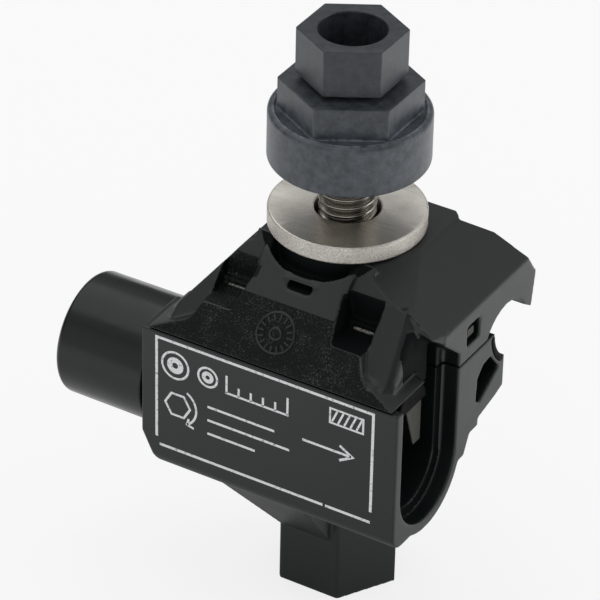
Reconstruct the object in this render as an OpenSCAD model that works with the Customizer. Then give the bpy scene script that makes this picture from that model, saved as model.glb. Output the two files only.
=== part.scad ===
// Insulation piercing connector for a main line and a tap, closed, with its shear head backed off.
// The origin is the middle of the boss's foot, +Z runs up the bolt, +X leaves the tap trough's open end
// and the label wall faces -Y.

/* [Boss and bolt] */
// Across flats of the hexagonal boss under the lower jaw
boss_af = 16.3; // [15.6:0.1:18]
// Height from the boss's foot to the underside of the tap trough
boss_h = 20.8; // [14:0.1:26]
// Thread diameter of the bolt
bolt_d = 8; // [6:0.1:8.4]
// Across flats of the bolt's head
bolt_head_af = 13; // [12:0.1:13.4]
// Height of the bolt's head
bolt_head_h = 5.3; // [4:0.1:7]
// Depth of the bolt's head inside the foot of the boss
bolt_head_recess = 0; // [0:0.1:3]
// Bolt end above the washer's top face
bolt_tail = 18.5; // [16:0.1:19]
// Gap all round the bolt's shank in the jaws
bolt_clear = 0.3; // [0.2:0.05:0.5]

/* [Tap trough] */
// Distance from the bolt's axis to the tap conductor's axis
tap_offset = 11.1; // [10.8:0.1:13]
// Radius of the tap channel
tap_r = 5.9; // [5:0.1:6.1]
// Wall from the tap channel to the outside of the trough
tap_wall = 3.15; // [2.6:0.05:4]
// Radius of the wider mouth at the open end
entry_r = 7.4; // [6.6:0.1:7.6]
// Depth of the wider mouth
entry_depth = 2.6; // [1.5:0.1:4]
// Height of the jaws' seam above the tap conductor's axis
seam_rise = 14.25; // [13:0.05:17]

/* [Lower jaw] */
// Length of the lower jaw along the conductors
body_len = 40.2; // [38:0.1:46]
// Lip of the label wall above the bottom of the trough
lip_rise = 1; // [0.5:0.1:3]
// Radius of the label wall's lower edge
lip_r = 2.4; // [1:0.1:2.6]
// Rear face of the skirt, from the bolt's axis
skirt_y = 9.4; // [8.8:0.1:11]
// Height of the skirt's rear face
skirt_h = 5; // [4:0.1:7]
// Wall of the skirt
skirt_wall = 1.3; // [1:0.1:2]
// Depth of the hollow behind the skirt, from each end
skirt_hollow = 5.6; // [3:0.1:6]
// Web between the grooves, below the seam
web_drop = 1.6; // [1.2:0.1:2.4]
// Radius of the main conductor's cradle
cradle_r = 6; // [5.4:0.1:6.6]
// Cut of the label wall's lower corner beside the cap, along the wall
corner_cut = 2.6; // [1:0.1:3.4]
// Cut of that corner, up the wall
corner_rise = 5.2; // [3:0.1:7]
// Height of the gusset's foot on the boss
gusset_foot = 9.6; // [7:0.1:12]
// Gusset's reach towards the cap, at the lip
gusset_reach = 11; // [8:0.1:14]
// Gusset's edge towards the open end
gusset_x = 3.6; // [2:0.1:4.6]

/* [Upper jaw] */
// Height of the washer's seat above the seam
tower_h = 12.95; // [11.5:0.05:15]
// Radius of the round pad under the washer
pad_r = 10; // [9.4:0.1:10.8]
// Roof's lower edge at the open end, below the washer's seat
roof_drop = 6.3; // [5:0.05:7.5]
// Front face of the roof, from the bolt's axis
roof_front_y = 10.6; // [10.4:0.1:12]
// Upper edge of the rear slope, from the bolt's axis
roof_rear_y = 8.7; // [8.2:0.1:10]
// Flat top's reach towards the open end
roof_top_x = 11.9; // [11:0.1:13]
// Flat top's reach towards the cap
roof_cap_x = 9; // [8:0.1:10]
// Radius of the round groove in front of that pad, which frees the washer
groove_r = 11.7; // [11.4:0.1:12.2]
// Rear edge of the raised crown under the washer
crown_y = 10.5; // [10.2:0.1:11.2]
// Height of the rough brow above the seam
brow_h = 5.2; // [4.4:0.1:6]
// How far the brow leans back over its height
brow_lean = 3; // [2:0.1:4]
// Half width of the tower at the top of the brow
tower_half = 7.8; // [7:0.1:8.6]
// How much each side of the tower draws in by its top
tower_taper = 2; // [1:0.1:2.6]
// Outer edge of the pockets beside the tower
pocket_x = 12.2; // [11.4:0.1:12.8]
// Outer end of the flanks at the roof, in from the jaw's end
flank_in = 3.3; // [2.6:0.1:3.6]
// How far the flanks widen by the brow's foot
flank_flare = 1.2; // [0.4:0.1:1.6]
// Rear end of the slanted mouth over the tap, from the bolt's axis
mouth_rear_y = 2.2; // [1.6:0.1:3]
// Width of the slot in the tower's face
slot_w = 3.6; // [2:0.1:5]
// Height of that slot
slot_h = 1.4; // [0.8:0.1:2]
// Radius of the main conductor's groove under the hook
hook_r = 6.1; // [5.6:0.1:6.6]
// Distance from the bolt's axis to the axis of that groove
hook_offset = 9.4; // [9.2:0.1:10.4]
// Rear face of the hook, from the bolt's axis
hook_y = 17.6; // [17:0.1:19]
// Gap between the closed jaws
seam_gap = 0.2; // [0.1:0.05:0.4]

/* [Washer and shear head] */
// Outer diameter of the washer
washer_d = 21.8; // [19:0.1:24]
// Hole of the washer
washer_hole_d = 9; // [8.8:0.1:9.6]
// Thickness of the washer
washer_t = 2.65; // [1.6:0.05:3.2]
// Height of the shear head's collar above the washer
nut_gap = 7.8; // [7.6:0.1:9]
// Diameter of the collar
collar_d = 22.2; // [20:0.1:24]
// Height of the collar
collar_h = 7.6; // [7.4:0.1:9]
// Across flats of the release hexagon
release_af = 17; // [16:0.1:18.5]
// Height of the release hexagon
release_h = 4.3; // [3:0.1:6]
// Diameter of the shear neck
neck_d = 11.6; // [10.6:0.1:12.6]
// Height of the shear neck
neck_h = 0.8; // [0.5:0.1:1.4]
// Across flats of the drive hexagon
drive_af = 13; // [12.4:0.1:14]
// Height of the drive hexagon
drive_h = 6.8; // [5:0.1:9]
// Hole down through the head
head_bore_d = 9.2; // [8.8:0.1:9.6]
// Turn of the head about the bolt
head_turn = 30.6; // [0:0.1:60]
// Outer diameter of the threaded insert
insert_d = 14; // [12:0.1:15]
// Height of the threaded insert
insert_h = 6.4; // [4:0.1:6.6]
// Running gap round the insert and its thread
insert_fit = 0.05; // [0.03:0.01:0.1]

/* [End cap] */
// Outer diameter of the cap beside the jaw
cap_d = 17.9; // [16.6:0.1:18.2]
// Outer diameter of the cap at its closed end
cap_end_d = 17.8; // [15:0.1:18]
// Length of the cap outside the jaw
cap_len = 14.2; // [8:0.1:20]
// Radius of the closed end's rim
cap_round = 1.9; // [1:0.1:3]
// Bore of the cap
cap_bore_d = 11.2; // [9:0.1:11.6]
// Wall of the closed end
cap_end_t = 1.8; // [1:0.1:3]
// Diameter of the spigot inside the jaw
spigot_d = 14.2; // [13:0.1:14.4]
// Length of the spigot
spigot_len = 6.6; // [4:0.1:6.8]
// Gap round the spigot
spigot_fit = 0.1; // [0.05:0.05:0.2]
// Gap between the cap's shoulder and the jaw's end
cap_seat = 0.3; // [0.2:0.05:0.5]
// Cap's axis above the tap conductor's axis
cap_rise = 3.2; // [2.4:0.1:3.4]

/* [Contacts and seals] */
// Thickness of the contact blades
blade_t = 1.8; // [1.2:0.1:2]
// Upper blade at the open end, in from the jaw's end
upper_entry_in = 4; // [3.8:0.1:4.4]
// Upper blade at the closed end, in from the jaw's end
upper_inner_in = 9.9; // [9.2:0.1:10.4]
// Lower blade at the open end, in from the jaw's end
lower_entry_in = 7.7; // [7.2:0.1:8.4]
// Lower blade at the closed end, in from the jaw's end
lower_inner_in = 12.7; // [11.8:0.1:13.2]
// Height of the upper blades' bar
blade_bar_h = 2.6; // [2:0.1:2.8]
// Rear edge of the upper tap teeth, from the bolt's axis
tooth_rear_y = 8.1; // [7.8:0.1:8.4]
// Width of a tap tooth at its root
tooth_root = 4.7; // [3.6:0.1:5.2]
// Width of a tap tooth at its tip
tooth_tip = 1.9; // [1.2:0.1:3]
// Tip of the upper tap teeth above the tap conductor's axis
tooth_tip_rise = 2.7; // [1:0.1:5]
// Stand-out of the small teeth from their groove
tooth_h = 1.4; // [0.8:0.1:2]
// Band of a lower blade under the channel
blade_band = 1.6; // [1:0.1:2]
// Cover over that band
blade_cover = 0.5; // [0.3:0.1:0.8]
// Thickness of the inlaid seals
seal_t = 1; // [0.6:0.1:1.2]
// Radius of the upper tap seal
tap_seal_r = 3.7; // [3.2:0.1:4]
// Gap between a seal and a blade
seal_fit = 0.1; // [0.05:0.05:0.2]

/* [Hidden] */
$fn = 64;
eps = 0.01;
far = 100;
half_len = body_len / 2;

// Heights up the stack
tap_outer_r = tap_r + tap_wall;
tap_z = boss_h + tap_outer_r;
seam_z = tap_z + seam_rise;
web_top = seam_z - web_drop;
seat_z = seam_z + tower_h;
washer_top = seat_z + washer_t;
nut_z = washer_top + nut_gap;
insert_z = nut_z + 0.6;
release_z = nut_z + collar_h;
neck_z = release_z + release_h;
drive_z = neck_z + neck_h;
hex_relief = 0.3;

// Lower jaw
front_y = tap_offset + tap_outer_r;
lip_z = boss_h + lip_rise;
channel_start = -half_len + spigot_len + 0.1;
trough_rear_y = tap_offset - tap_outer_r;
cradle_y = hook_offset + 3;
cradle_z = web_top + 0.1;
skirt_top = cradle_z - sqrt(pow(cradle_r, 2) - pow(cradle_y - skirt_y, 2));
skirt_foot = skirt_top - skirt_h;
skirt_under = skirt_foot - 1.7;
hip_z = tap_z - 3.2;
boss_top = web_top - 4;
boss_corner = boss_af / 2 * tan(30);
head_clear = 0.1;
cap_z = tap_z + cap_rise;
socket_r = spigot_d / 2 + spigot_fit;
socket_top = cap_z + socket_r + 1.5;

// Upper jaw
jaw_floor = web_top + seam_gap;
brow_foot = seam_z + seam_gap;
brow_top = seam_z + brow_h;
brow_step = 2.4;
brow_shoulder = 1.2;
brow_top_y = -front_y + brow_lean;
face_foot_y = brow_top_y + 2.2;
face_foot = brow_top + 2.3;
tower_top = seat_z - 1;
tower_top_y = -roof_front_y + 0.6;
slot_z = brow_top + 3.7;
slot_depth = 4;
roof_end_z = seat_z - roof_drop;
roof_edge_z = seat_z - 2.8;
roof_edge_y = -roof_front_y + 2.8;
cap_end_x = half_len - 1.2;
cap_knee = [cap_end_x - 4.7, brow_top + 0.9];
crown_h = 3.5;
groove_floor = seat_z - crown_h + 0.3;
crown_bevel = 0.9;
crease = [11, -2];
crease_fall = [0.312, 0.247];
flank_top = seat_z - 3.15;
flank_foot_y = -front_y + 0.7;
hook_reach = 5.2;
hook_lip_y = hook_offset + hook_reach;
hook_z = jaw_floor - sqrt(pow(hook_r, 2) - pow(hook_lip_y - hook_offset, 2));
groove_top = hook_z + hook_r;
hook_bend_y = hook_y - 2.6;
rear_knee = [hook_bend_y - 2, seat_z - 3.25];
hook_back_z = roof_end_z - 4;
hook_tip_z = jaw_floor - 1.4;
flank_x = half_len - flank_in;
flank_soft = 0.9;
mouth_foot = jaw_floor + 0.9;
trough_wall_y = tap_offset - tap_r;
mouth_end_y = -trough_wall_y - 0.03;
tongue_drop = 0.35;
tongue_foot = web_top - tongue_drop;
tongue_top = seam_z + 2.1;
tongue_half = tap_r - 0.8;
tongue_rear_y = 7.6;
tongue_start = channel_start + 0.4;
pocket_rib = 1.1;
notch = [[-1.7, groove_top - 0.8], [1.7, groove_top + 2.3]];
notch_depth = 1.8;
tab = [[-0.9, groove_top], [1, groove_top + 1.3]];

// Contact blades and seals
blade_half = blade_t / 2;
upper_entry_x = half_len - upper_entry_in;
upper_inner_x = -half_len + upper_inner_in;
lower_entry_x = half_len - lower_entry_in;
lower_inner_x = -half_len + lower_inner_in;
tongue_end = upper_entry_x + blade_half + 0.3;
gallery_depth = 6;
gallery_start = upper_entry_x - gallery_depth;
bar_foot = groove_top + 3;
bar_front_y = roof_front_y - 0.8;
tooth_top = brow_top - 0.6;
bar_top = bar_foot + blade_bar_h;
tooth_neck_z = tongue_foot - 1.4;
tip_z = tap_z + tooth_tip_rise;
tip_half = 0.25;
tap_seal_z = tongue_foot - 2.8;
band_in = tap_r + blade_cover;
band_out = band_in + blade_band;
arm_foot = skirt_foot + 2;
arm_top = arm_foot + 2.6;
upper_seal_start = upper_inner_x + blade_half + seal_fit;
upper_seal_end = upper_entry_x - blade_half - seal_fit;
lower_seal_start = lower_inner_x + blade_half + seal_fit;
lower_seal_end = lower_entry_x - blade_half - seal_fit;
upper_seal_arc = [58, 140];
lower_seal_arc = [184, 236];
seal_strip_arc = [184, 203];
seal_lip = 6;
tap_seal_arcs = [[-160, -90], [-91, -20]];
cradle_band_arc = [205, 235];
cradle_teeth = [211, 228];
tap_teeth = [-112, -90, -68];
main_teeth = [hook_offset - 1.6, hook_offset + 1.4];
main_tooth_half = 1.3;

// Moulding colours
black_moulding = [0.10, 0.10, 0.10];
grey_moulding = [0.29, 0.31, 0.33];
black_rubber = [0.06, 0.06, 0.06];
tinned = [0.72, 0.72, 0.70];
stainless = [0.66, 0.64, 0.62];

// A side outline (Y, Z) drawn along X
module along_x(x0, x1) {
    translate([x0, 0, 0])
        rotate([90, 0, 90])
            linear_extrude(x1 - x0)
                children();
}

// A front outline (X, Z) drawn along Y
module along_y(y0, y1) {
    translate([0, y1, 0])
        rotate([90, 0, 0])
            linear_extrude(y1 - y0)
                children();
}

// A rectangle between two corners
module rect(a, b) {
    translate(a)
        square([b[0] - a[0], b[1] - a[1]]);
}

// A hexagonal bar by its width across flats, corners on X
module hex_bar(af, h) {
    cylinder(h = h, r = af / 2 / cos(30), $fn = 6);
}

// A slice of a ring about a centre, over an arc of less than 180 degrees
module ring_slice(centre, r_in, r_out, arc) {
    reach = 4 * r_out;
    mid = (arc[0] + arc[1]) / 2;
    translate(centre)
        intersection() {
            difference() {
                circle(r_out);
                circle(r_in);
            }
            polygon([[0, 0], for (a = [arc[0], mid, arc[1]]) reach * [cos(a), sin(a)]]);
        }
}

// Label wall, trough, web and skirt of the lower jaw in side view
module lower_outline() {
    difference() {
        union() {
            rect([-front_y, lip_z + lip_r], [-tap_offset, seam_z]);
            rect([-front_y + lip_r, lip_z], [-tap_offset, seam_z]);
            translate([-front_y + lip_r, lip_z + lip_r])
                circle(lip_r);
            translate([-tap_offset, tap_z])
                circle(tap_outer_r);
            rect([-front_y, tap_z], [-trough_rear_y, web_top]);
            polygon([
                [-tap_offset / 2, hip_z],
                [-1.1, hip_z],
                [0.35, hip_z + 2.9],
                [2.6, hip_z + 2.9],
                [2.6, skirt_under],
                [skirt_y - 2.2, skirt_foot - 0.7],
                [skirt_y, skirt_foot],
                [skirt_y, web_top],
                [-tap_offset / 2, web_top]
            ]);
        }
        rect([-tap_offset, web_top], [-trough_rear_y, far]);
        translate([cradle_y, cradle_z])
            circle(cradle_r);
    }
}

// Ramp from the label wall's lip down to the boss
module gusset() {
    intersection() {
        along_x(-gusset_reach, gusset_x)
            polygon([
                [-front_y + lip_r, lip_z + eps],
                [-boss_af / 2, gusset_foot],
                [0, gusset_foot],
                [0, tap_z],
                [-tap_offset, tap_z]
            ]);
        along_y(-far, far)
            polygon([
                [-boss_corner, gusset_foot - eps],
                [gusset_x, gusset_foot - eps],
                [gusset_x, tap_z],
                [-gusset_reach, tap_z],
                [-gusset_reach, lip_z]
            ]);
    }
}

// Open tap channel in side view
module channel_outline(r) {
    translate([-tap_offset, tap_z])
        circle(r);
    rect([-tap_offset - r, tap_z], [-tap_offset + r, seam_z + eps]);
}

// Hollow behind the skirt in side view
module skirt_hollow_outline() {
    polygon([
        [skirt_y - skirt_wall - 0.2, skirt_top - 1.1],
        [skirt_y - 4, skirt_top + 1.9],
        [3.4, skirt_top + 1.7],
        [1.9, skirt_top + 0.2],
        [1.7, skirt_foot + 1.5],
        [2.8, skirt_foot + 0.9]
    ]);
}

// A small tooth pointing at a centre from the angle given
module inward_tooth(centre, angle, r_root, r_tip, half) {
    translate(centre)
        rotate(angle)
            polygon([[r_root, -half], [r_tip, -tip_half], [r_tip, tip_half], [r_root, half]]);
}

// Band of a lower contact blade in side view: under the channel, up its rear wall and back to the cradle
module lower_band_outline() {
    tap = [-tap_offset, tap_z];
    wall = [-tap_offset + band_in, -tap_offset + band_out];
    difference() {
        union() {
            translate(tap)
                circle(band_out);
            rect([-tap_offset, tap_z - band_out / 2], [wall[1], arm_top]);
            rect([wall[0] + blade_band / 2, arm_foot], [skirt_y - 2.4, arm_top]);
        }
        translate(tap)
            circle(band_in);
        rect([-far, tap_z], [wall[0], far]);
        rect([-far, -far], [-tap_offset - band_in / 2, far]);
    }
}

// Lower contact blade: the band, a second band under the cradle, and the teeth of both
module lower_blade(x) {
    tap = [-tap_offset, tap_z];
    cradle = [cradle_y, cradle_z];
    cradle_in = cradle_r + blade_cover;
    x0 = x - blade_half;
    x1 = x + blade_half;
    along_x(x0, x1)
        lower_band_outline();
    along_x(x0, x1)
        ring_slice(cradle, cradle_in, cradle_in + blade_band, cradle_band_arc);
    for (a = tap_teeth)
        along_x(x0, x1)
            inward_tooth(tap, a, band_in + blade_band / 2, tap_r - tooth_h, 1.1);
    for (a = cradle_teeth)
        along_x(x0, x1)
            inward_tooth(cradle, a, cradle_in + blade_band / 2, cradle_r - tooth_h, 0.9);
}

// Upper contact blade in side view: a bar, a locating lug, a tap tooth and the main teeth
module upper_blade_outline() {
    rect([-bar_front_y, bar_foot], [hook_offset + 3, bar_top]);
    rect(tab[0], [tab[1][0], bar_top]);
    polygon([
        [-tooth_rear_y, bar_top],
        [-bar_front_y, bar_top],
        [-bar_front_y, tooth_top],
        [-tooth_rear_y - tooth_root, tooth_top],
        [-tooth_rear_y - tooth_root, tooth_neck_z],
        [-tooth_rear_y - tooth_tip, tip_z],
        [-tooth_rear_y, tip_z]
    ]);
    for (y = main_teeth)
        polygon([
            [y - main_tooth_half, bar_top],
            [y - main_tooth_half, groove_top],
            [y - tip_half, groove_top - tooth_h],
            [y + tip_half, groove_top - tooth_h],
            [y + main_tooth_half, groove_top],
            [y + main_tooth_half, bar_top]
        ]);
}

// Roof, rear slope and hook of the upper jaw in side view
module roof_outline() {
    difference() {
        polygon([
            [-roof_front_y, tongue_top],
            [-roof_front_y, roof_edge_z],
            [roof_edge_y, seat_z],
            [roof_rear_y, seat_z],
            rear_knee,
            [hook_bend_y, roof_end_z - 0.3],
            [hook_y, hook_back_z],
            [hook_y - 0.9, hook_tip_z],
            [hook_lip_y, jaw_floor],
            [-trough_wall_y, jaw_floor],
            [-trough_wall_y, tongue_top]
        ]);
        translate([hook_offset, hook_z])
            circle(hook_r);
    }
}

// Roof of the upper jaw in front view: a long slope to the open end and a steep one to the cap
module roof_front_view() {
    polygon([
        [-cap_end_x, hook_tip_z - 1],
        [-cap_end_x, seam_z],
        [-cap_knee[0], cap_knee[1]],
        [-roof_cap_x, seat_z],
        [roof_top_x, seat_z],
        [half_len, roof_end_z],
        [half_len, hook_tip_z - 1]
    ]);
}

// Height of the slanted ceiling over the tap's mouth
function mouth_z(y) =
    roof_end_z + (y + roof_front_y) * (mouth_foot - roof_end_z) / (roof_front_y - mouth_rear_y);

// Space under that ceiling in side view, from one wall to another
module mouth_outline(front, rear) {
    polygon([
        [front, jaw_floor - eps],
        [front, mouth_z(front)],
        [rear, mouth_z(rear)],
        [rear, jaw_floor - eps]
    ]);
}

// Everything above the soft crease at a front corner of the roof
module above_crease(side) {
    turn = atan(crease_fall[0]);
    translate([side * crease[0], crease[1], seat_z])
        rotate([atan(crease_fall[1] * cos(turn)), side * turn, 0])
            translate([-far / 2, -far / 2, 0])
                cube(far);
}

// Raised crown under the washer
module crown() {
    side_y = crown_y - crown_bevel;
    translate([0, 0, seat_z - crown_h]) {
        cylinder(h = crown_h, r = pad_r);
        linear_extrude(crown_h)
            polygon([
                [-roof_cap_x, 0],
                [roof_top_x, 0],
                [roof_top_x, side_y],
                [roof_top_x - crown_bevel, crown_y],
                [-roof_cap_x + crown_bevel, crown_y],
                [-roof_cap_x, side_y]
            ]);
    }
}

// Round groove in front of the pad
module washer_groove() {
    translate([0, 0, groove_floor])
        linear_extrude(far)
            difference() {
                circle(groove_r);
                circle(pad_r);
                rect([-far, roof_edge_y], [far, far]);
            }
}

// Rough brow of the upper jaw: side view and front view
module brow() {
    foot_x = half_len - 0.8;
    intersection() {
        along_x(-half_len, half_len)
            polygon([
                [-front_y, brow_foot],
                [brow_top_y, brow_top],
                [-roof_front_y + 1, brow_top],
                [-roof_front_y + 1, brow_foot]
            ]);
        along_y(-far, far)
            polygon([
                [-foot_x, brow_foot],
                [-pocket_x - brow_shoulder, brow_top - brow_step],
                [-pocket_x, brow_top],
                [pocket_x, brow_top],
                [pocket_x + brow_shoulder, brow_top - brow_step],
                [foot_x, brow_foot]
            ]);
    }
}

// Tapered tower between the pockets
module tower() {
    intersection() {
        along_x(-tower_half, tower_half)
            polygon([
                [brow_top_y, brow_top - eps],
                [face_foot_y, face_foot],
                [tower_top_y, tower_top],
                [0, tower_top],
                [0, brow_top - eps]
            ]);
        along_y(-far, far)
            polygon([
                [-tower_half, brow_top - 2 * eps],
                [-tower_half + tower_taper, seat_z],
                [tower_half - tower_taper, seat_z],
                [tower_half, brow_top - 2 * eps]
            ]);
    }
}

// Sloped flanks from the roof's front down to the brow's ends
module flanks() {
    plan_y = -roof_front_y + 1;
    difference() {
        intersection() {
            along_x(-half_len, half_len)
                polygon([
                    [flank_foot_y, brow_foot],
                    [-roof_front_y, flank_top],
                    [plan_y, flank_top],
                    [plan_y, brow_foot]
                ]);
            along_y(-far, far)
                roof_front_view();
            linear_extrude(far)
                for (side = [-1, 1])
                    polygon([
                        [side * pocket_x, plan_y],
                        [side * flank_x, plan_y],
                        [side * (flank_x + flank_flare), -front_y],
                        [side * pocket_x, -front_y]
                    ]);
        }
        for (side = [-1, 1])
            beyond_flank(side);
    }
}

// Everything outside the softened corner of a flank
module beyond_flank(side) {
    lean = atan2(-roof_front_y - flank_foot_y, flank_top - brow_foot);
    flare = atan2(flank_flare, front_y - roof_front_y);
    out = [side * cos(flare), sin(flare) - cos(lean), sin(lean)];
    dir = out / norm(out);
    edge = [side * flank_x, -roof_front_y, flank_top];
    translate(edge - flank_soft * dir)
        rotate([0, acos(dir[2]), atan2(dir[1], dir[0])])
            translate([-far / 2, -far / 2, 0])
                cube(far);
}

module upper_jaw() {
    color(black_moulding)
        difference() {
            union() {
                difference() {
                    intersection() {
                        along_x(-half_len, half_len)
                            roof_outline();
                        along_y(-far, far)
                            roof_front_view();
                    }
                    for (side = [-1, 1])
                        above_crease(side);
                }
                crown();
                brow();
                tower();
                flanks();
                along_x(tongue_start, tongue_end) {
                    rect([-tap_offset - tongue_half, tongue_foot], [-tongue_rear_y, tongue_top]);
                    rect([-tap_offset - 2, tongue_foot], [-tongue_rear_y, tooth_top]);
                }
                along_x(tongue_start, gallery_start)
                    rect([-tap_offset, jaw_floor], [-trough_wall_y + eps, tongue_top + eps]);
                for (x0 = [-pocket_x, tower_half - 1])
                    along_x(x0, x0 + pocket_x - tower_half + 1)
                        rect([-roof_front_y - pocket_rib, brow_top - eps], [-roof_front_y, brow_top + 1]);
            }
            cylinder(h = far, r = bolt_d / 2 + bolt_clear);
            washer_groove();
            translate([-slot_w / 2 + 0.3, face_foot_y, slot_z])
                cube([slot_w, slot_depth, slot_h]);
            along_x(half_len - notch_depth, far)
                rect(notch[0], notch[1]);
            contact_tab();
            along_x(gallery_start, far)
                mouth_outline(-tongue_rear_y, mouth_end_y);
            along_x(tongue_end, far)
                mouth_outline(-roof_front_y - eps, mouth_end_y);
            along_x(half_len - entry_depth, far)
                mouth_outline(-tap_offset, -tap_offset + entry_r);
            for (x = [upper_entry_x, upper_inner_x])
                along_x(x - blade_half, x + blade_half)
                    upper_blade_outline();
            along_x(upper_seal_start, upper_seal_end)
                upper_main_seal_outline(hook_r - seal_t);
        }
}

// Seal of the hook's groove in side view, from the inner radius given
module upper_main_seal_outline(r_in) {
    ring_slice([hook_offset, hook_z], r_in, hook_r + seal_t, upper_seal_arc);
}

module upper_contact(x) {
    color(tinned)
        along_x(x - blade_half, x + blade_half)
            upper_blade_outline();
}

// Tab bent out of the blade at the open end, which locks it in the jaw
module contact_tab() {
    along_x(upper_entry_x, half_len - 0.5)
        rect(tab[0], tab[1]);
}

module upper_contact_entry() {
    upper_contact(upper_entry_x);
    color(tinned)
        contact_tab();
}

module upper_contact_inner() {
    upper_contact(upper_inner_x);
}

module upper_main_seal() {
    color(black_rubber)
        along_x(upper_seal_start, upper_seal_end)
            upper_main_seal_outline(hook_r);
}

// Rubber bar under the tongue, closing round the tooth at the open end
module upper_tap_seal() {
    color(black_rubber)
        difference() {
            along_x(upper_seal_start, tongue_end)
                intersection() {
                    translate([-tap_offset, tap_seal_z])
                        circle(tap_seal_r);
                    rect([-far, -far], [far, tongue_foot]);
                }
            along_x(upper_seal_end, upper_entry_x + blade_half + seal_fit)
                offset(delta = seal_fit)
                    upper_blade_outline();
            along_x(upper_seal_end, far)
                rect([-far, -far], [far, tap_seal_z]);
        }
}

module washer() {
    color(stainless)
        translate([0, 0, seat_z])
            difference() {
                cylinder(h = washer_t, d = washer_d);
                translate([0, 0, -eps])
                    cylinder(h = washer_t + 2 * eps, d = washer_hole_d);
            }
}

module bolt() {
    color(stainless) {
        translate([0, 0, bolt_head_recess])
            hex_bar(bolt_head_af, bolt_head_h);
        translate([0, 0, bolt_head_recess + bolt_head_h - eps])
            cylinder(h = washer_top + bolt_tail - bolt_head_recess - bolt_head_h + eps, d = bolt_d);
    }
}

module lower_jaw() {
    color(black_moulding)
        difference() {
            union() {
                along_x(-half_len, half_len)
                    lower_outline();
                hex_bar(boss_af, boss_top);
                gusset();
                along_x(-half_len, channel_start)
                    rect([-front_y + 1, tap_z], [-trough_rear_y, socket_top]);
            }
            along_x(channel_start, half_len + eps)
                channel_outline(tap_r);
            along_x(half_len - entry_depth, half_len + eps)
                channel_outline(entry_r);
            translate([-half_len - eps, -tap_offset, cap_z])
                rotate([0, 90, 0])
                    cylinder(h = channel_start + half_len + 2 * eps, r = socket_r);
            translate([0, 0, -eps])
                cylinder(h = far, r = bolt_d / 2 + bolt_clear);
            translate([0, 0, -eps])
                hex_bar(bolt_head_af + 2 * head_clear, bolt_head_recess + bolt_head_h + head_clear);
            translate([0, cradle_y, cradle_z])
                rotate([0, 90, 0])
                    cylinder(h = 2 * far, r = cradle_r, center = true);
            for (x0 = [-half_len - eps, half_len - skirt_hollow])
                along_x(x0, x0 + skirt_hollow + eps)
                    skirt_hollow_outline();
            along_y(-far, -front_y + lip_r)
                polygon([
                    [-half_len - eps, 0],
                    [-half_len - eps, lip_z + corner_rise],
                    [-half_len + corner_cut, lip_z - eps],
                    [-half_len + corner_cut, 0]
                ]);
            for (x = [lower_entry_x, lower_inner_x])
                lower_blade(x);
            cradle_seal(cradle_r - seal_t);
            along_x(lower_seal_start, lower_seal_end)
                lower_tap_seal_outline(tap_r - seal_t);
        }
}

// Seal of the tap channel in side view, from the inner radius given
module lower_tap_seal_outline(r_in) {
    for (arc = tap_seal_arcs)
        ring_slice([-tap_offset, tap_z], r_in, tap_r + seal_t, arc);
}

module lower_contact_entry() {
    color(tinned)
        lower_blade(lower_entry_x);
}

module lower_contact_inner() {
    color(tinned)
        lower_blade(lower_inner_x);
}

// Seal of the cradle from the inner radius given: a pad between the blades, a strip past them and end lips
module cradle_seal(r_in) {
    cradle = [cradle_y, cradle_z];
    r_out = cradle_r + seal_t;
    along_x(lower_seal_start, lower_seal_end)
        ring_slice(cradle, r_in, r_out, lower_seal_arc);
    along_x(-half_len, half_len)
        ring_slice(cradle, r_in, r_out, seal_strip_arc);
    for (x0 = [-half_len, half_len - seal_lip])
        along_x(x0, x0 + seal_lip)
            ring_slice(cradle, r_in, r_out, lower_seal_arc);
}

module lower_main_seal() {
    color(black_rubber)
        cradle_seal(cradle_r);
}

module lower_tap_seal() {
    color(black_rubber)
        along_x(lower_seal_start, lower_seal_end)
            lower_tap_seal_outline(tap_r);
}

module nut_insert() {
    color(stainless)
        translate([0, 0, insert_z])
            difference() {
                cylinder(h = insert_h, d = insert_d);
                translate([0, 0, -eps])
                    cylinder(h = insert_h + 2 * eps, r = bolt_d / 2 + insert_fit);
            }
}

// A hexagon whose upper corners are turned to a cone
module turned_hex(af, h) {
    corner_r = af / 2 / cos(30);
    intersection() {
        hex_bar(af, h);
        rotate_extrude()
            polygon([[0, 0], [corner_r + 1, 0], [corner_r + 1, h - hex_relief], [af / 2 - 0.1, h], [0, h]]);
    }
}

// Collar with rounded upper and lower rims
module collar() {
    top_round = 1.1;
    foot_round = 0.5;
    rotate_extrude() {
        rect([0, foot_round], [collar_d / 2, collar_h - top_round]);
        rect([0, 0], [collar_d / 2 - foot_round, collar_h - top_round]);
        rect([0, foot_round], [collar_d / 2 - top_round, collar_h]);
        translate([collar_d / 2 - top_round, collar_h - top_round])
            circle(top_round);
        translate([collar_d / 2 - foot_round, foot_round])
            circle(foot_round);
    }
}

module shear_head() {
    color(grey_moulding)
        rotate([0, 0, head_turn])
            difference() {
                union() {
                    translate([0, 0, nut_z])
                        collar();
                    translate([0, 0, release_z - eps])
                        turned_hex(release_af, release_h + eps);
                    translate([0, 0, neck_z - eps])
                        cylinder(h = neck_h + 2 * eps, d = neck_d);
                    translate([0, 0, drive_z])
                        turned_hex(drive_af, drive_h);
                }
                translate([0, 0, nut_z - eps])
                    cylinder(h = far, d = head_bore_d);
                translate([0, 0, insert_z - insert_fit])
                    cylinder(h = insert_h + 2 * insert_fit, r = insert_d / 2 + insert_fit);
            }
}

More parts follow.
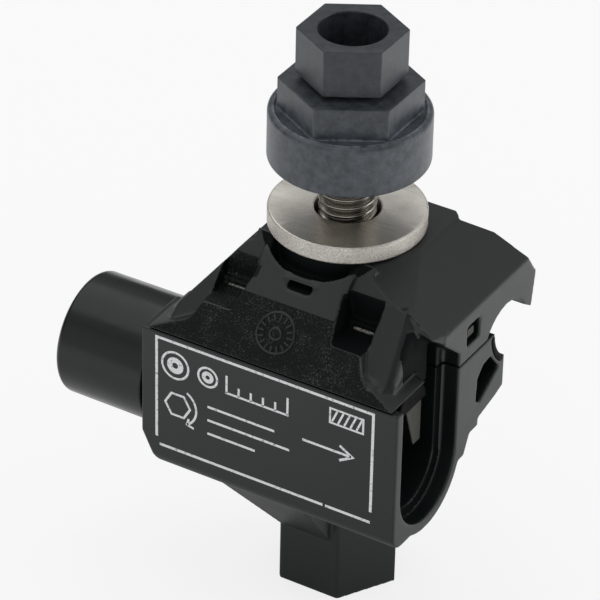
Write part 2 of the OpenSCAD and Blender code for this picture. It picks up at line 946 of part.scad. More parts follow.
// Cap lathed about its axis, closed end outwards
module end_cap() {
    spigot_end = spigot_len + cap_seat;
    color(black_rubber)
        translate([-half_len - cap_seat, -tap_offset, cap_z])
            rotate([0, -90, 0])
                rotate_extrude()
                    difference() {
                        union() {
                            polygon([
                                [0, -spigot_end],
                                [spigot_d / 2, -spigot_end],
                                [spigot_d / 2, 0],
                                [cap_d / 2, 0],
                                [cap_end_d / 2, cap_len - cap_round],
                                [cap_end_d / 2 - cap_round, cap_len - cap_round],
                                [cap_end_d / 2 - cap_round, cap_len],
                                [0, cap_len]
                            ]);
                            intersection() {
                                translate([cap_end_d / 2 - cap_round, cap_len - cap_round])
                                    circle(cap_round);
                                rect([0, 0], [far, far]);
                            }
                        }
                        rect([-eps, -far], [cap_bore_d / 2, cap_len - cap_end_t]);
                    }
}

lower_jaw();
lower_contact_entry();
lower_contact_inner();
lower_main_seal();
lower_tap_seal();
bolt();
upper_jaw();
upper_contact_entry();
upper_contact_inner();
upper_main_seal();
upper_tap_seal();
washer();
nut_insert();
shear_head();
end_cap();
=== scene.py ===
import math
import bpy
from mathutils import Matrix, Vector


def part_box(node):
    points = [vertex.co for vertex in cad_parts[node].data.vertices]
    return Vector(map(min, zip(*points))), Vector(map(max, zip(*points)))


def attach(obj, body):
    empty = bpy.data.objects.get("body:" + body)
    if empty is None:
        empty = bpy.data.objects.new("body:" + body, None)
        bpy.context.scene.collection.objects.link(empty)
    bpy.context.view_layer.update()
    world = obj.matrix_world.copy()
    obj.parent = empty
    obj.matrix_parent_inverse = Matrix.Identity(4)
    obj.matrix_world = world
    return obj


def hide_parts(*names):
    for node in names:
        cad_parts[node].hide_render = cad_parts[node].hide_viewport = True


bl_info = {
    "name": "Insulation piercing connector",
    "version": (1, 1, 0),
    "blender": (4, 5, 0),
    "location": "View3D > Sidebar > Connector",
    "description": "Dresses the packed connector with moulded edges, thread, print and a studio",
    "category": "Object",
}

import bmesh
import bpy
import numpy as np
from mathutils import Matrix, Vector

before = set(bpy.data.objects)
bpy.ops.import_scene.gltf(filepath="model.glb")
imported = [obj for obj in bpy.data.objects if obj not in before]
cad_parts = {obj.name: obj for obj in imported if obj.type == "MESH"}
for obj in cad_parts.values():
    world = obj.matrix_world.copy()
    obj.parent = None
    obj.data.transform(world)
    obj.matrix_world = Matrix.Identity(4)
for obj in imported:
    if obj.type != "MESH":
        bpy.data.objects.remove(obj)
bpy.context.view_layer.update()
MM = 0.001

# The label wall's outer face, and the three corners of the brow's section above it: (y, z) in mm.
LABEL_Y = -20.15
BROW_FOOT = (-20.15, 44.3)
BROW_KNEE = (-17.15, 49.3)
BROW_TOP = (-14.95, 51.6)

# How far the brow's upper slope and the tower's face above it lean back, in mm for each mm of height.
BROW_LEAN = 0.9565
TOWER_LEAN = 1.112

# Sizes along and round the axes of the turned pieces in mm, and the head's turn in degrees.
COLLAR_HEIGHT = 7.6
RELEASE_HEIGHT = 4.3
NECK_HEIGHT = 0.8
HEAD_BORE = 4.6
INSERT_ROOM = 7.05
HEAD_TURN = 30.6
SHANK_TOP = 46.0
CAP_SHOULDER = 20.4

# The camera: degrees round, up and rolled, then mm away, mm to the side and up, and the height of its aim.
CAMERA_TURN = 30.62
CAMERA_RISE = 33.46
CAMERA_ROLL = 1.27
CAMERA_AWAY = 538.14
CAMERA_SHIFT = (-6.43, -12.82)
CAMERA_AIM = 59.7

# No limit on that side of a box.
ANY = np.inf

# Angles round a turned or hexagonal piece in degrees, closer together at a hexagon's corners.
NEAR_CORNER = (0, 0.35, 0.7, 1.05, 1.4, 2, 3.5, 6, 9, 12, 15, 18, 21, 24, 27)
SIXTH = sorted({-a for a in NEAR_CORNER} | set(NEAR_CORNER)) + [30]
ANGLES = [math.radians(60 * side + a) for side in range(6) for a in SIXTH]


def linear(code):
    """A colour written as sRGB hex, in linear light."""
    parts = [int(code[i:i + 2], 16) / 255 for i in (1, 3, 5)]
    return tuple(c / 12.92 if c <= 0.04045 else ((c + 0.055) / 1.055) ** 2.4 for c in parts)


class ConnectorSizes(bpy.types.PropertyGroup):
    """Sizes of the details that the solids leave out, in metres."""

    jaw_cell: bpy.props.FloatProperty(
        name="Jaw cell",
        description="Cell of the jaws' remesh: their edges are rounded by about one and a half cells",
        default=0.2 * MM, unit="LENGTH")
    blade_cell: bpy.props.FloatProperty(
        name="Blade cell", description="Cell of the contact blades' remesh",
        default=0.13 * MM, unit="LENGTH")
    seal_cell: bpy.props.FloatProperty(
        name="Seal cell", description="Cell of the seals' remesh", default=0.2 * MM, unit="LENGTH")
    head_edge: bpy.props.FloatProperty(
        name="Head edges", description="Radius of the shear head's hexagon edges",
        default=0.16 * MM, unit="LENGTH")
    washer_edge: bpy.props.FloatProperty(
        name="Washer edges", description="Radius of the washer's punched edges",
        default=0.35 * MM, unit="LENGTH")
    cap_edge: bpy.props.FloatProperty(
        name="Cap shoulder", description="Radius of the cap's shoulder", default=0.35 * MM, unit="LENGTH")
    cap_end: bpy.props.FloatProperty(
        name="Cap end", description="Radius of the cap's round end", default=0.9 * MM, unit="LENGTH")
    thread_pitch: bpy.props.FloatProperty(
        name="Thread pitch", description="Pitch of the bolt's coarse thread",
        default=1.25 * MM, unit="LENGTH")
    thread_depth: bpy.props.FloatProperty(
        name="Thread depth", description="Depth of the bolt's thread", default=0.72 * MM, unit="LENGTH")
    print_line: bpy.props.FloatProperty(
        name="Print line", description="Width of the printed frame's lines",
        default=0.42 * MM, unit="LENGTH")
    ring_size: bpy.props.FloatProperty(
        name="Tick ring", description="Diameter of the ring of ticks on the brow",
        default=5.6 * MM, unit="LENGTH")


class ConnectorColours(bpy.types.PropertyGroup):
    """Base colours of the finishes."""

    jaw: bpy.props.FloatVectorProperty(
        name="Jaws", description="Black glass filled polyamide", subtype="COLOR", default=linear("#050f0e"))
    head: bpy.props.FloatVectorProperty(
        name="Shear head", description="Grey polyamide of the shear head",
        subtype="COLOR", default=linear("#41474d"))
    cap: bpy.props.FloatVectorProperty(
        name="Cap", description="Soft black cap", subtype="COLOR", default=linear("#060d0d"))
    seal: bpy.props.FloatVectorProperty(
        name="Seals", description="Black elastomer", subtype="COLOR", default=linear("#060606"))
    steel: bpy.props.FloatVectorProperty(
        name="Washer", description="Stainless steel", subtype="COLOR", default=linear("#ece7df"))
    bolt: bpy.props.FloatVectorProperty(
        name="Bolt", description="Bright rolled steel", subtype="COLOR", default=linear("#a39f97"))
    tin: bpy.props.FloatVectorProperty(
        name="Contacts", description="Dull tin plate", subtype="COLOR", default=linear("#4a4a46"))
    # Pale specks on the brow: glass fibres, and painted glints.
    fibre_and_painted_glint: bpy.props.FloatVectorProperty(
        name="Fibres and painted glints", description="Glass fibres in the rough brow",
        subtype="COLOR", default=linear("#4a4c4a"))
    bead_tone: bpy.props.FloatVectorProperty(
        name="Beads", description="Pale beads on the pockets' ribs",
        subtype="COLOR", default=linear("#8c8983"))
    print: bpy.props.FloatVectorProperty(
        name="Print", description="White pad print", subtype="COLOR", default=linear("#eef0f2"))


def sizes():
    return bpy.context.scene.connector_sizes


def colours():
    return bpy.context.scene.connector_colours


def link(tree, source, made, name):
    """Link a socket, or a node's first outlet, to the named input of a node."""
    socket = source.outputs[0] if isinstance(source, bpy.types.Node) else source
    tree.links.new(socket, made.inputs[name])


def add(tree, kind, links=None, values=None, **settings):
    """A node of that kind with its settings, its input values and its links from sockets or nodes."""
    made = tree.nodes.new(kind)
    for name, value in settings.items():
        setattr(made, name, value)
    for name, value in (values or {}).items():
        made.inputs[name].default_value = value
    for name, source in (links or {}).items():
        link(tree, source, made, name)
    return made


def tint(tone, share=1):
    """A share of a colour, as a socket holds it."""
    return (*(min(1, part * share) for part in tone), 1)


def emptied(made):
    """The node tree of a new material or world, with nothing in it."""
    made.use_nodes = True
    made.node_tree.nodes.clear()
    return made.node_tree


def finish(name):
    """Turns a recipe, which gives the links into a shader, into a function that gives the material."""
    def wrap(recipe):
        def material():
            if name not in bpy.data.materials:
                tree = emptied(bpy.data.materials.new(name))
                shader = add(tree, "ShaderNodeBsdfPrincipled")
                add(tree, "ShaderNodeOutputMaterial", {"Surface": shader})
                place = add(tree, "ShaderNodeTexCoord").outputs["Object"]
                for socket, source in recipe(tree, shader, place).items():
                    link(tree, source, shader, socket)
            return bpy.data.materials[name]
        return material
    return wrap


def from_axis(tree, place):
    """The distance of a place from the bolt's axis."""
    flat = add(tree, "ShaderNodeVectorMath", {0: place}, {1: (1, 1, 0)}, operation="MULTIPLY")
    return add(tree, "ShaderNodeVectorMath", {0: flat}, operation="LENGTH").outputs["Value"]


@finish("Moulded black polyamide")
def black_polyamide(tree, shader, place):
    """Glass filled polyamide, injection moulded."""
    # A near black satin skin: its grey is the room seen in it, broken up by fibre grain and flow marks.
    tone = colours().jaw
    flow = add(tree, "ShaderNodeTexNoise", {"Vector": place}, {"Scale": 1 / (4.5 * MM), "Detail": 3})
    colour = add(tree, "ShaderNodeMix", {0: flow}, {6: tint(tone, 0.75), 7: tint(tone, 1.35)},
                 data_type="RGBA")
    satin = add(tree, "ShaderNodeMapRange", {0: flow}, {3: 0.36, 4: 0.48})
    grain = add(tree, "ShaderNodeTexNoise", {"Vector": place}, {"Scale": 1 / (0.3 * MM), "Detail": 3})
    bump = add(tree, "ShaderNodeBump", {"Height": grain}, {"Strength": 0.6, "Distance": 0.025 * MM})
    return {"Base Color": colour.outputs[2], "Roughness": satin, "Normal": bump}


@finish("Spark eroded black polyamide")
def eroded_polyamide(tree, shader, place):
    """The same polyamide on the brow, whose mould is spark eroded."""
    # A dark coarse grain with pale specks: the bare ends of glass fibres, and painted glints of the grain.
    shader.inputs["Specular IOR Level"].default_value = 0.16
    pits = add(tree, "ShaderNodeTexNoise", {"Vector": place},
               {"Scale": 1 / (0.22 * MM), "Detail": 2, "Roughness": 0.6})
    patch = add(tree, "ShaderNodeTexNoise", {"Vector": place}, {"Scale": 1 / (3 * MM), "Detail": 2})
    more = add(tree, "ShaderNodeMapRange", {0: patch}, {1: 0.3, 2: 0.7, 3: -0.08, 4: 0.06})
    sum_up = add(tree, "ShaderNodeMath", {0: pits, 1: more}, operation="ADD")
    specks = add(tree, "ShaderNodeMapRange", {0: sum_up}, {1: 0.54, 2: 0.78, 3: 0, 4: 1})
    colour = add(tree, "ShaderNodeMix", {0: specks},
                 {6: tint(colours().jaw, 0.6), 7: tint(colours().fibre_and_painted_glint)}, data_type="RGBA")
    dull = add(tree, "ShaderNodeMapRange", {0: pits}, {3: 0.6, 4: 0.4})
    bump = add(tree, "ShaderNodeBump", {"Height": pits}, {"Strength": 1.0, "Distance": 0.12 * MM})
    return {"Base Color": colour.outputs[2], "Roughness": dull, "Normal": bump}


@finish("Black polyamide with painted shade")
def painted_shade_polyamide(tree, shader, place):
    """The same polyamide in the recesses, darkened and dulled there as painted shade."""
    # Painted shade: a near black skin, darker than the jaws' own colour, with next to no shine, so that the
    # recesses read as deep.
    shader.inputs["Specular IOR Level"].default_value = 0.1
    shade_speckle = add(tree, "ShaderNodeTexNoise", {"Vector": place}, {"Scale": 1 / (0.8 * MM), "Detail": 4})
    colour = add(tree, "ShaderNodeMix", {0: shade_speckle},
                 {6: tint(colours().jaw, 0.4), 7: tint(colours().jaw, 0.8)}, data_type="RGBA")
    dull = add(tree, "ShaderNodeMapRange", {0: shade_speckle}, {3: 0.6, 4: 0.85})
    return {"Base Color": colour.outputs[2], "Roughness": dull}


@finish("Pale bead polyamide")
def pale_bead_polyamide(tree, shader, place):
    """Pale polyamide for the beads along the pockets' ribs."""
    # A pale broken line: the black shows through in specks.
    specks = add(tree, "ShaderNodeTexNoise", {"Vector": place}, {"Scale": 1 / (0.35 * MM), "Detail": 4})
    worn = add(tree, "ShaderNodeMapRange", {0: specks}, {1: 0.38, 2: 0.6, 3: 0, 4: 1})
    colour = add(tree, "ShaderNodeMix", {0: worn}, {6: tint(colours().jaw), 7: tint(colours().bead_tone)},
                 data_type="RGBA")
    dull = add(tree, "ShaderNodeMapRange", {0: specks}, {3: 0.35, 4: 0.7})
    return {"Base Color": colour.outputs[2], "Roughness": dull}


@finish("Moulded grey polyamide")
def grey_polyamide(tree, shader, place):
    """Unfilled grey polyamide, injection moulded."""
    # A smooth satin skin with a slight cloud of pigment and a fine grain.
    tone = colours().head
    cloud = add(tree, "ShaderNodeTexNoise", {"Vector": place},
                {"Scale": 1 / (1.4 * MM), "Detail": 6, "Roughness": 0.7})
    spread = add(tree, "ShaderNodeMapRange", {0: cloud}, {1: 0.36, 2: 0.64, 3: 0, 4: 1})
    colour = add(tree, "ShaderNodeMix", {0: spread}, {6: tint(tone, 0.6), 7: tint(tone, 1.45)},
                 data_type="RGBA")
    # The colour is darker from the collar up into the drive hexagon: painted shade on the hexagons above
    # the collar.
    height = add(tree, "ShaderNodeSeparateXYZ", {0: place}).outputs["Z"]
    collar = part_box("shear_head")[0].z + COLLAR_HEIGHT * MM
    painted_top_shade = add(tree, "ShaderNodeMapRange", {0: height},
                {1: collar - 0.6 * MM, 2: collar + 6.9 * MM, 3: 1, 4: 0.5})
    shade = add(tree, "ShaderNodeVectorMath", {0: colour.outputs[2], "Scale": painted_top_shade}, operation="SCALE")
    # Painted highlight: a pale broken line on the collar's rim and at the foot of the release hexagon.
    inner = add(tree, "ShaderNodeMapRange", {0: from_axis(tree, place)},
                {1: 10.6 * MM, 2: 10.35 * MM, 3: 0, 4: 1})
    near = add(tree, "ShaderNodeMath", {0: height}, {1: collar - 0.12 * MM, 2: 0.14 * MM},
               operation="COMPARE")
    line = add(tree, "ShaderNodeMath", {0: inner, 1: near}, operation="MULTIPLY")
    painted_rim_highlight = add(tree, "ShaderNodeMath", {0: line, 1: spread}, operation="MULTIPLY")
    worn = add(tree, "ShaderNodeMix", {0: painted_rim_highlight, 6: shade}, {7: tint(tone, 3.2)}, data_type="RGBA")
    satin = add(tree, "ShaderNodeMapRange", {0: cloud}, {3: 0.36, 4: 0.5})
    grain = add(tree, "ShaderNodeTexNoise", {"Vector": place}, {"Scale": 1 / (0.3 * MM), "Detail": 3})
    bump = add(tree, "ShaderNodeBump", {"Height": grain}, {"Strength": 0.7, "Distance": 0.04 * MM})
    return {"Base Color": worn.outputs[2], "Roughness": satin, "Normal": bump}


@finish("Glossy black elastomer")
def glossy_elastomer(tree, shader, place):
    """Soft black elastomer, moulded in a polished tool."""
    # A soft mirror of the room with a slow ripple, dulled here and there by handling.
    shader.inputs["Specular IOR Level"].default_value = 0.36
    shader.inputs["Base Color"].default_value = tint(colours().cap)
    smear = add(tree, "ShaderNodeTexNoise", {"Vector": place}, {"Scale": 1 / (5.0 * MM), "Detail": 5})
    dull = add(tree, "ShaderNodeMapRange", {0: smear}, {1: 0.35, 2: 0.75, 3: 0.16, 4: 0.34})
    ripple = add(tree, "ShaderNodeTexNoise", {"Vector": place}, {"Scale": 1 / (3.5 * MM), "Detail": 1})
    bump = add(tree, "ShaderNodeBump", {"Height": ripple}, {"Strength": 0.6, "Distance": 0.05 * MM})
    return {"Roughness": dull, "Normal": bump}


@finish("Matt black elastomer")
def seal_elastomer(tree, shader, place):
    """Black elastomer of the seals."""
    # A dull soft skin with a fine bloom.
    shader.inputs["Specular IOR Level"].default_value = 0.06
    shader.inputs["Base Color"].default_value = tint(colours().seal)
    bloom = add(tree, "ShaderNodeTexNoise", {"Vector": place}, {"Scale": 1 / (1.2 * MM), "Detail": 4})
    dull = add(tree, "ShaderNodeMapRange", {0: bloom}, {3: 0.45, 4: 0.7})
    bump = add(tree, "ShaderNodeBump", {"Height": bloom}, {"Strength": 0.4, "Distance": 0.04 * MM})
    return {"Roughness": dull, "Normal": bump}


@finish("Brushed stainless sheet")
def stainless_sheet(tree, shader, place):
    """Stainless steel sheet, rolled and brushed."""
    # Fine streaks along the rolling direction, drawn coarser than the real ones so that they show.
    tone = colours().steel
    shader.inputs["Metallic"].default_value = 1
    along = add(tree, "ShaderNodeMapping", {"Vector": place})
    along.inputs["Rotation"].default_value = (0, 0, math.radians(38))
    along.inputs["Scale"].default_value = (1 / (7 * MM), 1 / (0.16 * MM), 1 / (0.5 * MM))
    streak = add(tree, "ShaderNodeTexNoise", {"Vector": along},
                 {"Scale": 1, "Detail": 4, "Roughness": 0.65})
    stain = add(tree, "ShaderNodeTexNoise", {"Vector": place}, {"Scale": 1 / (4 * MM), "Detail": 3})
    blend = add(tree, "ShaderNodeMath", {0: streak, 1: stain}, operation="MULTIPLY")
    spread = add(tree, "ShaderNodeMapRange", {0: blend}, {1: 0.1, 2: 0.45, 3: 0, 4: 1})
    colour = add(tree, "ShaderNodeMix", {0: spread}, {6: tint(tone, 0.8), 7: tint(tone, 1.2)},
                 data_type="RGBA")
    # The punched rim is grainy and duller than the faces.
    rim = add(tree, "ShaderNodeMapRange", {0: from_axis(tree, place)},
              {1: 10.62 * MM, 2: 10.8 * MM, 3: 0, 4: 1})
    grain = add(tree, "ShaderNodeTexNoise", {"Vector": place}, {"Scale": 1 / (0.2 * MM), "Detail": 2})
    broken = add(tree, "ShaderNodeMapRange", {0: grain}, {1: 0.3, 2: 0.7, 3: 0.5, 4: 0.85})
    punched = add(tree, "ShaderNodeMix", {0: rim, 3: broken}, {2: 1.0})
    dull = add(tree, "ShaderNodeMapRange", {0: streak}, {1: 0.3, 2: 0.7, 3: 0.24, 4: 0.42})
    shade = add(tree, "ShaderNodeVectorMath", {0: colour.outputs[2], "Scale": punched}, operation="SCALE")
    duller = add(tree, "ShaderNodeMath", {0: rim, 2: dull}, {1: 0.25}, operation="MULTIPLY_ADD")
    bump = add(tree, "ShaderNodeBump", {"Height": streak}, {"Strength": 0.5, "Distance": 0.012 * MM})
    return {"Base Color": shade, "Roughness": duller, "Normal": bump}


@finish("Bright rolled steel")
def rolled_steel(tree, shader, place):
    """Bright steel with a rolled thread."""
    # The thread's roots are darker than its crests.
    tone = colours().bolt
    shader.inputs["Metallic"].default_value = 1
    crest = add(tree, "ShaderNodeMapRange", {0: from_axis(tree, place)},
                {1: 3.3 * MM, 2: 3.85 * MM, 3: 0, 4: 1})
    colour = add(tree, "ShaderNodeMix", {0: crest}, {6: tint(tone, 0.3), 7: tint(tone)}, data_type="RGBA")
    film = add(tree, "ShaderNodeTexNoise", {"Vector": place}, {"Scale": 1 / (0.8 * MM), "Detail": 3})
    dull = add(tree, "ShaderNodeMapRange", {0: film}, {1: 0.3, 2: 0.7, 3: 0.16, 4: 0.36})
    return {"Base Color": colour.outputs[2], "Roughness": dull}


@finish("Dull tin plate")
def tin_plate(tree, shader, place):
    """Copper blades plated with tin."""
    # A soft grey metal, clouded and lightly scuffed.
    tone = colours().tin
    shader.inputs["Metallic"].default_value = 1
    cloud = add(tree, "ShaderNodeTexNoise", {"Vector": place}, {"Scale": 1 / (0.9 * MM), "Detail": 5})
    colour = add(tree, "ShaderNodeMix", {0: cloud}, {6: tint(tone, 0.7), 7: tint(tone, 1.15)},
                 data_type="RGBA")
    dull = add(tree, "ShaderNodeMapRange", {0: cloud}, {1: 0.3, 2: 0.7, 3: 0.38, 4: 0.58})
    bump = add(tree, "ShaderNodeBump", {"Height": cloud}, {"Strength": 0.4, "Distance": 0.03 * MM})
    return {"Base Color": colour.outputs[2], "Roughness": dull, "Normal": bump}


@finish("White pad print")
def pad_print(tree, shader, place):
    """White pad printing ink on the label wall."""
    # A thin chalky film that lets the black skin through where it is rubbed.
    shader.inputs["Roughness"].default_value = 0.55
    rub = add(tree, "ShaderNodeTexNoise", {"Vector": place}, {"Scale": 1 / (0.35 * MM), "Detail": 4})
    worn = add(tree, "ShaderNodeMapRange", {0: rub}, {1: 0.26, 2: 0.44, 3: 0, 4: 1})
    colour = add(tree, "ShaderNodeMix", {0: worn},
                 {6: tint(colours().print, 0.25), 7: tint(colours().print)}, data_type="RGBA")
    return {"Base Color": colour.outputs[2]}


def plain(mesh_object):
    """The evaluated mesh of an object put in its place, with its modifiers removed."""
    graph = bpy.context.evaluated_depsgraph_get()
    made = bpy.data.meshes.new_from_object(mesh_object.evaluated_get(graph))
    mesh_object.modifiers.clear()
    mesh_object.data = made
    made.name = mesh_object.name
    return mesh_object


def show(name, mesh, material):
    """A new object at the origin with that mesh and material."""
    made = bpy.data.objects.new(name, mesh)
    bpy.context.collection.objects.link(made)
    mesh.materials.clear()
    mesh.materials.append(material)
    return made


def built(name, shape, material):
    """A new object with the faces of a bmesh, which is freed."""
    mesh = bpy.data.meshes.new(name)
    shape.to_mesh(mesh)
    shape.free()
    return show(name, mesh, material)


def settle(piece, body, slot, *nodes):
    """The piece moves with its body and stands for the nodes; the slot is not used."""
    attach(piece, body)
    if nodes:
        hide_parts(*nodes)
    return piece


def level(piece):
    """Smooth shading that keeps the large faces flat."""
    for face in piece.data.polygons:
        face.use_smooth = True
    weigh = piece.modifiers.new("level", "WEIGHTED_NORMAL")
    weigh.weight = 80
    return plain(piece)


def read(data, field):
    """A field of all points or faces as rows of three numbers."""
    out = np.zeros(len(data) * 3, np.float32)
    data.foreach_get(field, out)
    return out.reshape(-1, 3)


def whole(data, field):
    """A field of all faces or corners as whole numbers."""
    out = np.zeros(len(data), np.int32)
    data.foreach_get(field, out)
    return out


def within(points, low, high):
    """True for points inside a box, all in mm."""
    return np.all((points > low) & (points < high), axis=1)


def move(piece, rule):
    """Put a piece's points where the rule puts them, in mm."""
    points = rule(read(piece.data.vertices, "co") / MM)
    piece.data.vertices.foreach_set("co", (points * MM).astype(np.float32).ravel())


def mark(piece, material, rule):
    """Give a material to the faces that the rule picks by their middles in mm and their normals."""
    piece.data.materials.append(material)
    picked = rule(read(piece.data.polygons, "center") / MM, read(piece.data.polygons, "normal"))
    index = whole(piece.data.polygons, "material_index")
    index[picked] = len(piece.data.materials) - 1
    piece.data.polygons.foreach_set("material_index", index)


def skin(node, name, cell, passes, material, extra=()):
    """A copy of a solid with extra blocks, remeshed in small cells and smoothed to round its edges.

    Each block is the hull of its corners in mm.
    """
    shape = bmesh.new()
    shape.from_mesh(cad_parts[node].data)
    bmesh.ops.remove_doubles(shape, verts=shape.verts, dist=1e-6)
    for corners in extra:
        block = [shape.verts.new(Vector(corner) * MM) for corner in corners]
        bmesh.ops.convex_hull(shape, input=block)
    made = built(name, shape, material)
    cells = made.modifiers.new("cells", "REMESH")
    cells.mode = "VOXEL"
    cells.voxel_size = cell
    soft = made.modifiers.new("soft", "SMOOTH")
    soft.factor = 0.5
    soft.iterations = passes
    return plain(made)


def soften(piece, passes, rule):
    """Round a piece further at the points in mm that the rule picks."""
    group = piece.vertex_groups.new(name="soft")
    group.add(np.nonzero(rule(read(piece.data.vertices, "co") / MM))[0].tolist(), 1, "REPLACE")
    soft = piece.modifiers.new("soft", "SMOOTH")
    soft.factor = 0.5
    soft.iterations = passes
    soft.vertex_group = group.name
    plain(piece)
    piece.vertex_groups.clear()


def thin(piece, node, share):
    """Leave that share of a skin's faces and its finishes' borders, and keep it in its solid's box."""
    mesh = piece.data
    corner = whole(mesh.loops, "vertex_index")
    sides = whole(mesh.polygons, "loop_total")
    face = np.repeat(np.arange(len(sides)), sides)
    held = np.repeat(whole(mesh.polygons, "material_index"), sides)
    least = np.full(len(mesh.vertices), len(mesh.materials), np.int32)
    most = np.zeros(len(mesh.vertices), np.int32)
    np.minimum.at(least, corner, held)
    np.maximum.at(most, corner, held)
    border = least < most
    # The border is three faces wide on each side, so that the thinning can't fray it.
    for _ in range(3):
        touched = np.zeros(len(sides), bool)
        touched[face[border[corner]]] = True
        border[corner[touched[face]]] = True
    group = piece.vertex_groups.new(name="border")
    group.add(np.nonzero(border)[0].tolist(), 1, "REPLACE")
    fewer = piece.modifiers.new("fewer", "DECIMATE")
    fewer.ratio = share
    fewer.vertex_group = group.name
    fewer.invert_vertex_group = True
    plain(piece)
    piece.vertex_groups.clear()
    low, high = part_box(node)
    move(piece, lambda points: np.clip(points, np.array(low) / MM, np.array(high) / MM))
    return piece


def rounded(corners, steps=4):
    """A closed profile with rounded corners: (kind, radius, height) from (kind, radius, height, round)."""
    out = []
    for at, (kind, radius, height, edge) in enumerate(corners):
        here = Vector((radius, height))
        before = Vector(corners[at - 1][1:3]) - here
        after = Vector(corners[(at + 1) % len(corners)][1:3]) - here
        if edge == 0:
            out.append((kind, radius, height))
            continue
        half = before.angle(after) / 2
        reach = edge / math.tan(half)
        middle = here + (before.normalized() + after.normalized()).normalized() * edge / math.sin(half)
        start = here + before.normalized() * reach - middle
        sweep = start.angle_signed(here + after.normalized() * reach - middle)
        for step in range(steps + 1):
            point = middle + Matrix.Rotation(-sweep * step / steps, 2) @ start
            out.append((kind, point.x, point.y))
    return out


def hexagon(half_across, corner):
    """Distances from the axis to a hexagon with rounded corners, at each of the angles."""
    third = math.radians(30)
    middle = (half_across - corner) / math.cos(third)
    straight = math.atan((half_across - corner) * math.tan(third) / half_across)
    out = []
    for angle in ANGLES:
        off = abs((angle + third) % (2 * third) - third)
        if third - off <= straight:
            out.append(half_across / math.cos(third - off))
        else:
            out.append(middle * math.cos(off) + math.sqrt(corner ** 2 - (middle * math.sin(off)) ** 2))
    return out


def turned(name, profile, corner, matrix, material):
    """A piece of rings, round or hexagonal, one for each point of a closed profile in mm."""
    shape = bmesh.new()
    rings = []
    for kind, radius, height in profile:
        reach = hexagon(radius, corner) if kind == "hex" else [radius] * len(ANGLES)
        rings.append([shape.verts.new(matrix @ Vector((r * math.cos(a), r * math.sin(a), height)) * MM)
                      for r, a in zip(reach, ANGLES)])
    for at, ring in enumerate(rings):
        after = rings[(at + 1) % len(rings)]
        for i in range(len(ANGLES)):
            j = (i + 1) % len(ANGLES)
            shape.faces.new((ring[i], ring[j], after[j], after[i]))
    bmesh.ops.remove_doubles(shape, verts=shape.verts, dist=1e-7)
    bmesh.ops.recalc_face_normals(shape, faces=shape.faces)
    return level(built(name, shape, material))


def new_tree(name, inputs):
    """An empty geometry tree with named inputs: (tree, the inputs' outlets, the inputs' identifiers)."""
    tree = bpy.data.node_groups.new(name, "GeometryNodeTree")
    keys = {label: tree.interface.new_socket(label, in_out="INPUT", socket_type=kind).identifier
            for label, kind in inputs}
    tree.interface.new_socket("Geometry", in_out="OUTPUT", socket_type="NodeSocketGeometry")
    return tree, add(tree, "NodeGroupInput").outputs, keys


def grown(name, tree, keys, values, material):
    """A piece made by a geometry tree with those input values, as a plain mesh."""
    made = show(name, bpy.data.meshes.new(name), material)
    grow = made.modifiers.new("grow", "NODES")
    grow.node_group = tree
    for label, value in values.items():
        grow[keys[label]] = value
    return plain(made)


